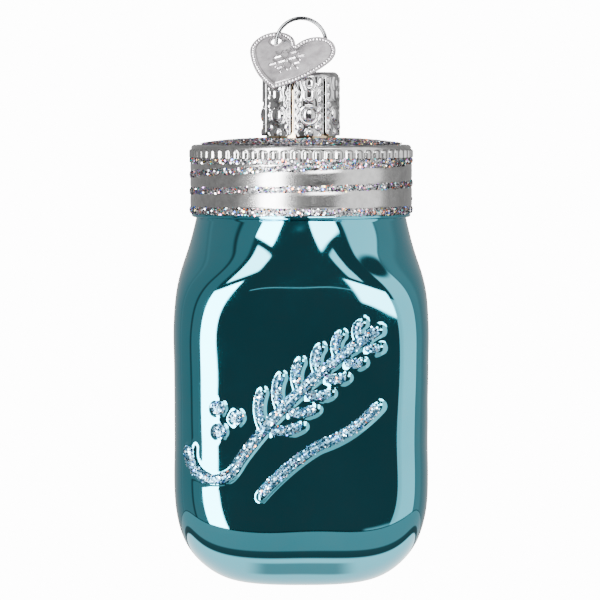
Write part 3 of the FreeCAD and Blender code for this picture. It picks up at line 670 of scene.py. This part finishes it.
def lid_coat():
    """The lacquer over the lid: its skirt with the ribs, its rounded rim and its top, closed inside."""
    columns = RIB_COUNT * 12
    angles = full_turn(columns)
    bands = np.linspace(BEAD_TOP, RIM_BAND[1], 56)
    ribs = np.linspace(RIM_BAND[1] + 0.08, RIB_TOP, 12)
    skirt = [polar(lid_radius(angles, z), angles, z) for z in [*bands, *ribs]]
    rim_turn = np.radians(np.linspace(0, 118, 9))
    rim = [(18.96 + 0.55 * math.cos(a), 76.56 + 0.60 * math.sin(a)) for a in rim_turn]
    edge = [(18.45, 77.03), (18.1, 77.02)]
    cone = [(r, lid_cone(r)) for r in np.linspace(17.6, CROWN_RADIUS, 12)]
    inner = [(CROWN_RADIUS, CROWN_FOOT), (SKIRT - 0.9, RIM_TOP), (SKIRT, RIM_TOP - 0.9), (SKIRT, BEAD_TOP)]
    turned = [polar(r, angles, z) for r, z in rim + edge + cone + inner]
    rows = np.stack(skirt + turned)
    return build("lid_lacquer", rows.reshape(-1, 3), [(ring_faces(len(rows), columns), 0, True)], [lacquer],
                 "glass", ["lid_silver_coat"], "silver_lacquer")


lid_coat()


# --------------------------------------------------- glitter
FLAKE_RADIUS = 0.17
FLAKE_LEAN = 0.36
FLAKES_PER_MM2 = 14
TOP_FLAKES_PER_MM2 = 9
BAND_RISE = 0.20
STROKE_HALF = 0.86
STROKE_RISE = 0.30
STROKE_SHIFT = np.array([-0.33, 0.33])


def glitter(name, base, base_faces, places, normals, metals, replaced, slot):
    """A piece of glitter: a varnished base and the loose flakes that stand on it."""
    loose, hexagons, cones = flakes(places, normals, FLAKE_RADIUS, FLAKE_LEAN)
    groups = [(faces, 0, True) for faces in base_faces]
    groups += [(hexagons + len(base), 1, False), (cones + len(base), 1, False)]
    return build(name, np.concatenate([base, loose]), groups, metals, "glass", [replaced], slot)


def ragged(count, amount, closed):
    """An uneven line: a little noise, smoothed."""
    values = rng.normal(size=count)
    for _ in range(2):
        values = (np.roll(values, 1) + 2 * values + np.roll(values, -1)) / 4
    if not closed:
        values[:2] = values[-2:] = 0
    return amount * values


def lid_band(name, piece, middle, half, turns):
    """Glitter round the lid's skirt, its middle height and half width at each turn given by functions."""
    closed = turns == 1
    count = int(520 * turns)
    angles = np.linspace(0, turns * TAU, count, endpoint=not closed)
    ends = np.ones(count) if closed else smoothstep(np.minimum(angles, angles[::-1]) / 0.06) * 0.95 + 0.05
    reach = (half + ragged(count, 0.07, closed)) * ends
    centre = middle(angles) + ragged(count, 0.05, closed)
    across = np.linspace(-1, 1, 9)
    rise = ridge(across) * BAND_RISE * ends[:, None]
    radius = np.concatenate([SKIRT + COAT + 0.02 + rise, np.full((count, 2), SKIRT + 0.05)], 1)
    height = centre[:, None] + np.concatenate([across, [0.9, -0.9]])[None] * reach[:, None]
    section = polar(radius, angles[:, None], height)
    if closed:
        base, faces = section.reshape(-1, 3), [ring_faces(*section.shape[:2])[:, ::-1]]
    else:
        base, quads, caps = tube(section)
        faces = [quads[:, ::-1], caps[:, ::-1]]
    number = int(turns * TAU * SKIRT * 2 * half * FLAKES_PER_MM2)
    turn = rng.uniform(0, turns * TAU, number)
    place = rng.uniform(-1.08, 1.08, number)
    level = np.interp(turn, angles, centre) + place * np.interp(turn, angles, reach)
    out = SKIRT + COAT + 0.05 + 0.22 * ridge(place)
    return glitter(piece, base, faces, polar(out, turn, level), polar(1, turn, 0.5 * place),
                   [silver_base, silver_flake], name, "silver_glitter")


def lid_top():
    """Glitter over the lid's shallow cone."""
    count = 480
    angles = full_turn(count)
    edge = TOP_BAND_RADIUS + ragged(count, 0.12, True)
    share = np.array([0.0, 0.02, 0.05, 0.12, 0.2, 0.3, 0.4, 0.5, 0.6, 0.7, 0.8, 0.9, 1.0])
    radius = edge[:, None] + share[None] * (CROWN_RADIUS + 0.02 - edge[:, None])
    rise = 0.21 * np.minimum(1, share / 0.05)
    upper = polar(radius, angles[:, None], lid_cone(radius) + rise)
    lower = polar(radius, angles[:, None], lid_cone(radius) - 0.05)[:, [-1, 0]]
    section = np.concatenate([upper, lower], 1)
    faces = [ring_faces(*section.shape[:2])[:, ::-1]]
    number = int(math.pi * (TOP_BAND_RADIUS ** 2 - CROWN_RADIUS ** 2) * TOP_FLAKES_PER_MM2)
    out = np.sqrt(rng.uniform(CROWN_RADIUS ** 2 + 3, (TOP_BAND_RADIUS + 0.15) ** 2, number))
    turn = rng.uniform(0, TAU, number)
    places = polar(out, turn, lid_cone(out) + 0.24)
    normals = np.broadcast_to([0.0, 0.0, 1.0], places.shape)
    return glitter("lid_top_sparkle", section.reshape(-1, 3), faces, places, normals,
                   [silver_base, silver_flake], "lid_top_glitter", "silver_glitter")


def stroke_glitter(line, half):
    """The base of one stroke's glitter, and places and normals for its flakes."""
    way = unit(np.gradient(line, axis=0))
    side = np.stack([-way[:, 1], way[:, 0]], -1)
    along = run_along(line)
    end = np.clip(1 - np.minimum(along, along[-1] - along) / half, 0, 1)
    reach = half * np.sqrt(np.clip(1 - end ** 2, 0.03, 1)) * (1 + ragged(len(line), 0.09, False))
    across = np.linspace(-1, 1, 9)
    offset = np.concatenate([across, [0.9, -0.9]])
    lift = np.concatenate([STROKE_RISE * ridge(across), [-0.10, -0.10]])
    line = line + STROKE_SHIFT
    flat = line[:, None] + side[:, None] * (offset[None] * reach[:, None])[..., None]
    rise = relief_height(flat.reshape(-1, 2)).reshape(flat.shape[:2]) + lift
    section = on_front(flat[..., 0], flat[..., 1], rise)
    points, quads, caps = tube(section)
    number = int(along[-1] * 2 * half * FLAKES_PER_MM2)
    at = rng.uniform(0, along[-1], number)
    place = rng.uniform(-1.05, 1.05, number)
    flat = np.stack([np.interp(at, along, line[:, i]) for i in (0, 1)], -1)
    lean = np.stack([np.interp(at, along, side[:, i]) for i in (0, 1)], -1)
    width = np.interp(at, along, reach)
    flat = flat + lean * (place * width)[:, None]
    rise = relief_height(flat) + 0.04 + STROKE_RISE * ridge(place)
    places = on_front(flat[:, 0], flat[:, 1], rise)
    normals = places - on_front(flat[:, 0], flat[:, 1], rise - 1)
    normals[:, [0, 2]] += 0.6 * lean * place[:, None]
    return points, [quads, caps], places, normals


def berry_glitter(x, height):
    """A domed disc of glitter on a berry."""
    x, height = np.array([x, height]) + STROKE_SHIFT / 2
    turn = full_turn(28)
    radii = BERRY_RADIUS * np.array([0.97, 1.0, 0.9, 0.7, 0.4, 0.1])
    rises = RELIEF_RISE + np.array([-0.3, -0.1, 0.12, 0.26, 0.34, 0.36])
    flat_x = x + radii[:, None] * np.cos(turn)
    flat_z = height + radii[:, None] * np.sin(turn)
    section = on_front(flat_x, flat_z, np.broadcast_to(rises[:, None], flat_x.shape))
    points, quads, caps = tube(section)
    number = int(math.pi * BERRY_RADIUS ** 2 * FLAKES_PER_MM2 * 1.1)
    out = BERRY_RADIUS * np.sqrt(rng.uniform(0, 1, number))
    way = rng.uniform(0, TAU, number)
    rise = RELIEF_RISE + 0.04 + 0.34 * ridge(out, BERRY_RADIUS)
    px, pz = x + out * np.cos(way), height + out * np.sin(way)
    places = on_front(px, pz, rise)
    normals = places - on_front(px, pz, rise - 1)
    normals[:, [0, 2]] += 0.5 * spokes(way) * out[:, None] / BERRY_RADIUS
    return points, [quads, caps], places, normals


def sprig_piece(name, parts, replaced):
    """One piece of glitter from several strokes or berries."""
    points, faces = gather([part[:2] for part in parts])
    places, normals = (np.concatenate([part[i] for part in parts]) for i in (2, 3))
    return glitter(name, points, faces, places, normals,
                   [ice_base, ice_flake], replaced, "ice_blue_glitter")


HEM_MIDDLE = (BEAD_TOP + HEM_TOP) / 2
RIM_MIDDLE = sum(RIM_BAND) / 2
lid_band("hem_glitter_band", "hem_sparkle", lambda a: np.full_like(a, HEM_MIDDLE), 0.62, 1)
lid_band("rim_glitter_band", "rim_sparkle", lambda a: np.full_like(a, RIM_MIDDLE), 0.52, 1)
lid_band("thread_glitter_band", "thread_sparkle", lambda a: thread_height(a / TAU),
         THREAD_WIDTH / 2, THREAD_TURNS)
lid_top()
sprig_piece("stem_sparkle", [stroke_glitter(stem_line, STROKE_HALF)], "sprig_stem_glitter")
sprig_piece("needle_sparkle", [stroke_glitter(line, STROKE_HALF * 0.92) for line in needles],
            "sprig_needle_glitter")
sprig_piece("berry_sparkle", [berry_glitter(*berry) for berry in BERRIES], "sprig_berry_glitter")
sprig_piece("underline_sparkle", [stroke_glitter(underline_line, STROKE_HALF)], "underline_glitter")


# --------------------------------------------------- the cap
def dome(x, y, radius):
    return np.sqrt(np.clip(1 - (x ** 2 + y ** 2) / radius ** 2, 0, 1))


def leaf_emboss(x, z):
    """How far the pattern stands off the leaf at (x, height): ring, cup, bosses and scalloped borders."""
    wave = 2.08 + 0.18 * np.cos(TAU * (z - BOSS_HEIGHT) / 1.55)
    border = 0.24 * ridge(np.abs(x) - wave, 0.28)
    rail = 0.15 * ridge(np.abs(x) - 2.60, 0.20)
    oval = 0.20 * ridge(np.hypot(x / 0.72, (z - 88.0) / 1.0) - 1, 0.42)
    cup_z = np.minimum(z - 85.75, 0)
    cup = 0.22 * ridge(np.hypot(x, cup_z) - 0.80, 0.32) * (z < 86.7)
    boss = 0.48 * dome(x, z - BOSS_HEIGHT, 1.25)
    collar = 0.14 * ridge(np.hypot(x, z - BOSS_HEIGHT) - 1.55, 0.2)
    balls = 0.34 * dome(np.abs(x) - 1.80, z - 80.30, 0.68)
    tip = 0.42 * dome(x, z - 79.35, 0.78)
    veins = 0.12 * ridge(np.abs(x) - 1.25 - 0.25 * np.cos(TAU * (z - 84.2) / 4.4), 0.22) * (z > 83.9)
    return np.max([border, rail, oval, cup, boss, collar, balls, tip, veins], axis=0)


def leaf_outline():
    """One leaf laid flat: straight sides, a foot with rounded corners and a straight top."""
    half = math.pi * CAP_RADIUS / LEAF_COUNT - SLIT_WIDTH / 2
    corner, spacing = 0.95, 0.14
    top = CAP_TOP - CAP_CORNER + 0.1
    turn = np.radians(np.linspace(0, 90, 10))
    side = np.arange(top, CAP_FOOT + corner, -spacing)
    lower = [half - corner, CAP_FOOT + corner] + corner * spokes(-turn)
    foot = np.arange(half - corner - spacing, -half + corner, -spacing)
    right = np.concatenate([np.column_stack([np.full(len(side), half), side]), lower])
    bottom = np.column_stack([foot, np.full(len(foot), CAP_FOOT)])
    across = np.arange(-half + spacing, half - spacing / 2, spacing)
    crown = np.column_stack([across, np.full(len(across), top)])
    return np.concatenate([right, bottom, right[::-1] * [-1, 1], crown])[::-1]


def crown_cap():
    """Seven embossed leaves under a drawn top with two holes, all of one gauge of sheet."""
    parts = []
    flat, triangles = panel(leaf_outline(), [], 0.125)
    x, z = flat.T
    rise = leaf_emboss(x, z)
    for leaf in range(LEAF_COUNT):
        angle = -math.pi / 2 + LEAF_TURN + leaf * TAU / LEAF_COUNT + x / CAP_RADIUS
        outer = polar(CAP_RADIUS + rise, angle, z)
        inner = polar(CAP_RADIUS - CAP_GAUGE + rise, angle, z)
        points, faces, sides = sheet(outer, inner, triangles)
        parts.append((points, [faces, sides]))
    flat_radius = CAP_RADIUS - CAP_CORNER
    turn = CAP_CORNER * math.pi / 2
    rim = flat_radius + turn + 0.25
    outline = rim * spokes(full_turn(168))
    hole = LEG_HOLE * spokes(full_turn(20))
    flat, triangles = panel(outline, [hole + [LEG_OFFSET, 0], hole - [LEG_OFFSET, 0]], 0.26)
    reach = np.maximum(np.linalg.norm(flat, axis=1), 1e-9)
    bend = np.clip((reach - flat_radius) / CAP_CORNER, 0, math.pi / 2)
    straight = np.maximum(reach - flat_radius - turn, 0)
    faces_at = []
    for inset in (0, CAP_GAUGE):
        corner = CAP_CORNER - inset
        radius = np.minimum(reach, flat_radius) + corner * np.sin(bend) - 0.35 * straight
        height = CAP_TOP - CAP_CORNER + corner * np.cos(bend) - straight
        faces_at.append(np.column_stack([flat / reach[:, None] * radius[:, None], height]))
    points, faces, sides = sheet(*faces_at, triangles)
    parts.append((points, [faces, sides]))
    points, faces = gather(parts)
    return build("crown_cap", points, [(group, 0, True) for group in faces], [cap_sheet], "cap",
                 ["ornament_cap"], "cap_sheet_metal")


crown_cap()


# ------------------------------------------------ the hanger
def arc(centre, radius, start, end, count):
    return centre + radius * spokes(np.linspace(start, end, count))


def hanger_wire():
    """The loop, its two shoulders, and the legs that splay inside the neck."""
    spread = LEG_OFFSET + SHOULDER_BEND
    reach = LOOP_RADIUS + SHOULDER_BEND
    shoulder = (-spread, LOOP_HEIGHT - math.sqrt(reach ** 2 - spread ** 2))
    meet = math.atan2(shoulder[1] - LOOP_HEIGHT, -spread) % TAU
    half = np.concatenate([
        arc((0, LOOP_HEIGHT), LOOP_RADIUS, math.pi / 2, meet, 70),
        arc(shoulder, SHOULDER_BEND, meet - math.pi, 0, 12)[1:],
        np.column_stack([np.full(8, -LEG_OFFSET), np.linspace(shoulder[1], FLARE_HEIGHT, 9)[1:]]),
        arc((-LEG_OFFSET - FLARE_BEND, FLARE_HEIGHT), FLARE_BEND, 0, -FLARE_ANGLE, 6)[1:],
    ])
    half = np.concatenate([half, np.linspace(half[-1], LEG_END, 12)[1:]])
    path = np.concatenate([half[:0:-1] * [-1, 1], half])
    way = unit(np.gradient(path, axis=0))
    thick = np.full(len(path), WIRE_RADIUS * WIRE_SWELL)
    thick[[0, -1]] *= 0.6
    side = np.stack([-way[:, 1], np.zeros(len(path)), way[:, 0]], -1)
    circles = hoops(full_turn(20), side, np.array([[0, 1, 0]]))
    centre = np.stack([path[:, 0], np.zeros(len(path)), path[:, 1]], -1)
    points, quads, caps = tube(centre[:, None] + thick[:, None, None] * circles)
    return build("loop_wire", points, [(quads, 0, True), (caps, 0, True)], [wire_metal], "hanger",
                 ["hanger_wire"], "spring_wire")


hanger_wire()


# --------------------------------------------------- the tag
def heart_half():
    """The right half of the heart's outline, from the tip up round the lobe to the notch."""
    lobe, tip = np.array(TAG_LOBE), np.array([0, -TAG_TIP])
    away = tip - lobe
    length = np.linalg.norm(away)
    reach = TAG_SIDE_RADIUS - TAG_LOBE_RADIUS
    span = (length ** 2 + reach ** 2 - TAG_SIDE_RADIUS ** 2) / (2 * length)
    along = away / length
    across = np.array([-along[1], along[0]])
    centre = lobe + along * span - across * math.sqrt(reach ** 2 - span ** 2)
    touch = math.atan2(*(lobe - centre)[::-1])
    start = math.atan2(*(tip - centre)[::-1])
    notch = math.acos(-lobe[0] / TAG_LOBE_RADIUS)
    side = arc(centre, TAG_SIDE_RADIUS, start, touch, 70)
    return np.concatenate([side, arc(lobe, TAG_LOBE_RADIUS, touch, notch, 80)[1:]])


def along_line(line, spacing, closed=True):
    """Evenly spaced points along a line."""
    if closed:
        line = np.concatenate([line, line[:1]])
    at = run_along(line)
    count = int(round(at[-1] / spacing))
    place = np.arange(count) * at[-1] / count
    return np.stack([np.interp(place, at, line[:, i]) for i in (0, 1)], -1)


def snowflake_lines():
    """Six arms with a pair of barbs each."""
    lines = []
    for arm in range(6):
        turn = math.pi / 2 + arm * TAU / 6
        out = spokes(turn)
        lines.append(np.outer(np.linspace(0, 3.1, 48), out))
        for side in (1, -1):
            barb = spokes(turn + side * math.radians(55))
            lines.append(out * 1.6 + np.outer(np.linspace(0, 1.15, 20), barb))
    return np.concatenate(lines)


def heart_tag():
    """A thin stamped heart: a row of beads inside its edge, a pillowed field and a snowflake."""
    right = heart_half()
    outline = np.concatenate([right, (right * [-1, 1])[::-1][1:-1]])
    hole = TAG_HOLE + TAG_HOLE_RADIUS * spokes(full_turn(32))
    flat, triangles = panel(along_line(outline, 0.11), [hole], 0.095)
    edge = np.minimum(gap_to(flat, along_line(outline, 0.05)), 9)
    way = unit(np.roll(outline, -1, 0) - np.roll(outline, 1, 0))
    inset = outline + 0.5 * np.column_stack([-way[:, 1], way[:, 0]])
    inset = inset[gap_to(inset, outline) > 0.42]
    beads = along_line(inset, 0.60)
    beads = beads[gap_to(beads, hole) > 0.3]
    bead = 0.18 * ridge(gap_to(flat, beads), 0.22)
    pillow = 0.16 * smoothstep(edge / 3.2)
    groove = -0.05 * np.exp(-((edge - 0.9) / 0.16) ** 2)
    flake = 0.17 * ridge(gap_to(flat, snowflake_lines()), 0.21)
    collar = 0.07 * ridge(gap_to(flat, hole) - 0.18, 0.18)
    wave = 0.10 * np.sin(flat[:, 0] * 0.55 + 0.6) + 0.06 * np.sin(flat[:, 1] * 0.8 + flat[:, 0] * 0.3)
    field = TAG_GAUGE - 0.05 + pillow + groove + wave * smoothstep(edge / 2)
    upper = np.column_stack([flat, field + np.max([bead, flake, collar], axis=0)])
    lower = np.column_stack([flat, field - TAG_GAUGE + 0.05])
    points, faces, sides = sheet(upper, lower, triangles)
    turn = np.eye(3)
    for axis, degrees in TAG_TILTS:
        turn = turn @ np.array(Matrix.Rotation(math.radians(degrees), 3, "XYZ"[axis]))
    points = (points - [*TAG_HOLE, TAG_GAUGE / 2]) @ turn.T + TAG_HUNG_AT
    return build("stamped_heart", points, [(faces, 0, True), (sides, 0, True)], [tag_sheet], "tag",
                 ["heart_tag"], "tag_metal")


heart_tag()


# ------------------------------------------------- the stage
CAMERA_DISTANCE = 0.70
CAMERA_ELEVATION = math.radians(3.0)
CAMERA_TARGET = (-0.0002, 0.0, 0.0496)
VIEW_WIDTH = 0.1065
PAPER_WHITE = 14.0
FLOOR_HALF = 3.0
# What the metal sees of the floor is painted light: glowing rings of (distance in metres, brightness) from
# the jar's middle outwards, the dim pair a painted shadow ring round the foot. The rings are stretched
# sideways, because FLOOR_SHAPE scales the place before its distance is taken.
FLOOR_SHAPE = (0.62, 1.0, 1.0)
FLOOR_GLOW_RINGS = [(0.0, 2.0), (0.0150, 2.4), (0.0208, 2.8), (0.0215, 0.16), (0.0243, 0.20), (0.0250, 0.80),
               (0.0365, 0.85), (0.0371, 0.0)]
# A painted shade patch that dims the glowing rings: its half width, the distances where it starts and ends,
# and its share of the rings' brightness.
FLOOR_SHADE_PATCH = (0.0085, 0.0158, 0.0194, 0.36)


def arithmetic(tree, operation, first, second):
    node = add_node(tree, "Math")
    node.operation = operation
    put(tree, first, node.inputs[0])
    put(tree, second, node.inputs[1])
    return node.outputs["Value"]


def band_mask(tree, value, low, high, edge):
    """1 between low and high, falling to 0 over edge at each side."""
    masks = []
    for start, end in ((low - edge, low + edge), (high + edge, high - edge)):
        node = add_node(tree, "MapRange", Value=value, From_Min=start, From_Max=end)
        node.interpolation_type = "SMOOTHSTEP"
        masks.append(node.outputs["Result"])
    return arithmetic(tree, "MULTIPLY", *masks)


def mix_shaders(tree, share, first, second):
    mix = add_node(tree, "MixShader", Fac=share)
    put(tree, first, mix.inputs[1])
    put(tree, second, mix.inputs[2])
    return mix.outputs["Shader"]


def by_light_path(tree, seen, felt):
    """One shader for what the camera sees, another for what lights the object and shows in it."""
    return mix_shaders(tree, add_node(tree, "LightPath").outputs["Is Camera Ray"], felt, seen)


def stage():
    """A pale floor: plain paper to the camera, and to every other ray glowing rings of painted light round
    the jar, with a painted shadow ring and a painted shade patch.
    """
    mesh = bpy.data.meshes.new("floor")
    corners = [(-1, -1), (1, -1), (1, 1), (-1, 1)]
    mesh.from_pydata([(FLOOR_HALF * x, FLOOR_HALF * y, 0) for x, y in corners], [], [(0, 1, 2, 3)])
    material, tree, _ = shader("pale_floor")
    place = object_coordinates(tree)
    shaped = add_node(tree, "VectorMath")
    shaped.operation = "MULTIPLY"
    put(tree, place, shaped.inputs[0])
    put(tree, FLOOR_SHAPE, shaped.inputs[1])
    length = add_node(tree, "VectorMath", Vector=shaped.outputs["Vector"])
    length.operation = "LENGTH"
    distance = length.outputs["Value"]

    outer = FLOOR_GLOW_RINGS[-1][0]
    brightest = max(strength for _, strength in FLOOR_GLOW_RINGS)
    stops = [(radius / outer, (strength / brightest,) * 3) for radius, strength in FLOOR_GLOW_RINGS]
    # Painted shade: the patch dims the glowing rings in a narrow strip through the middle.
    half, near, far, share = FLOOR_SHADE_PATCH
    across = add_node(tree, "SeparateXYZ", Vector=place).outputs["X"]
    patch = arithmetic(tree, "MULTIPLY", band_mask(tree, across, -half, half, 0.0025),
                       band_mask(tree, distance, near, far, 0.0004))
    # The rings glow: painted light with a painted shadow ring, seen only in reflections and as light on the
    # object.
    rings = add_node(tree, "Emission", Color=ramp(tree, map_range(tree, distance, 0, outer, 0, 1), stops),
                     Strength=map_range(tree, patch, 0, 1, brightest, brightest * share))
    beyond = map_range(tree, distance, outer, outer + 0.001, 0, 1)
    nothing = add_node(tree, "BsdfTransparent").outputs["BSDF"]
    felt = mix_shaders(tree, beyond, rings.outputs["Emission"], nothing)
    paper = add_node(tree, "Emission", Strength=PAPER_WHITE).outputs["Emission"]
    feed(tree, tree.nodes["Material Output"], Surface=by_light_path(tree, paper, felt))
    mesh.materials.append(material)
    add_object("floor", mesh)


def camera():
    data = bpy.data.cameras.new("camera")
    eye = add_object("camera", data)
    bpy.context.scene.camera = eye
    back, up = math.cos(CAMERA_ELEVATION), math.sin(CAMERA_ELEVATION)
    eye.location = Vector(CAMERA_TARGET) + CAMERA_DISTANCE * Vector((0, -back, up))
    eye.rotation_euler = (math.pi / 2 - CAMERA_ELEVATION, 0, 0)
    data.sensor_width = 36.0
    data.lens = data.sensor_width * CAMERA_DISTANCE / VIEW_WIDTH
    data.clip_end = 20


# Soft boxes round the object, in degrees: the azimuths of their sides from the front (+ to the right), the
# elevations of their foot and top, and the softness of their edges. Last comes their strength.
SOFT_BOXES = [
    (-44, -19, -62, 36, 1.2, 36.0),
    (-36, -13, 42, 60, 1.5, 16.0),
    (-71, -45, -66, 60, 2.5, 0.36),
    (-122, -77, -66, 60, 3.0, 0.32),
    (8, 38, 12, 33, 1.2, 20.0),
    (12, 20, 37.5, 45, 1.0, 4.0),
    (-9, 9, 21.4, 22.3, 0.4, 1.3),
    (12, 48, -64, -34, 2.0, 1.5),
    (38, 46, -40, 26, 0.8, 2.0),
    (46, 92, -56, 52, 2.0, 2.6),
    (92, 122, -56, 55, 6.0, 0.50),
    (122, 181, -56, 55, 6.0, 0.35),
    (-181, -122, -56, 55, 6.0, 0.35),
    (-181, 181, 62, 72, 6.0, 0.9),
    (-181, 181, 72, 91, 6.0, 1.2),
]
AMBIENT = 0.135


def studio():
    """Soft boxes on a dim room, and white paper where the camera looks past the object."""
    world = bpy.data.worlds.new("studio")
    bpy.context.scene.world = world
    world.use_nodes = True
    tree = world.node_tree
    way = add_node(tree, "SeparateXYZ", Vector=add_node(tree, "TexCoord").outputs["Generated"])
    x, y, z = (way.outputs[axis] for axis in "XYZ")
    turn = arithmetic(tree, "ARCTAN2", x, arithmetic(tree, "MULTIPLY", y, -1.0))
    azimuth = arithmetic(tree, "MULTIPLY", turn, 180 / math.pi)
    lift = arithmetic(tree, "ARCSINE", z, 0.0)
    elevation = arithmetic(tree, "MULTIPLY", lift, 180 / math.pi)
    total = AMBIENT
    for left, right, low, high, edge, strength in SOFT_BOXES:
        across = band_mask(tree, azimuth, left, right, edge)
        along = band_mask(tree, elevation, low, high, edge)
        box = arithmetic(tree, "MULTIPLY", across, along)
        total = arithmetic(tree, "ADD", total, arithmetic(tree, "MULTIPLY", box, strength))
    white = (1, 1, 1, 1)
    room = tree.nodes["Background"]
    feed(tree, room, Color=white, Strength=total)
    paper = add_node(tree, "Background", Color=white, Strength=PAPER_WHITE)
    both = by_light_path(tree, paper.outputs["Background"], room.outputs["Background"])
    feed(tree, tree.nodes["World Output"], Surface=both)


stage()
camera()
studio()
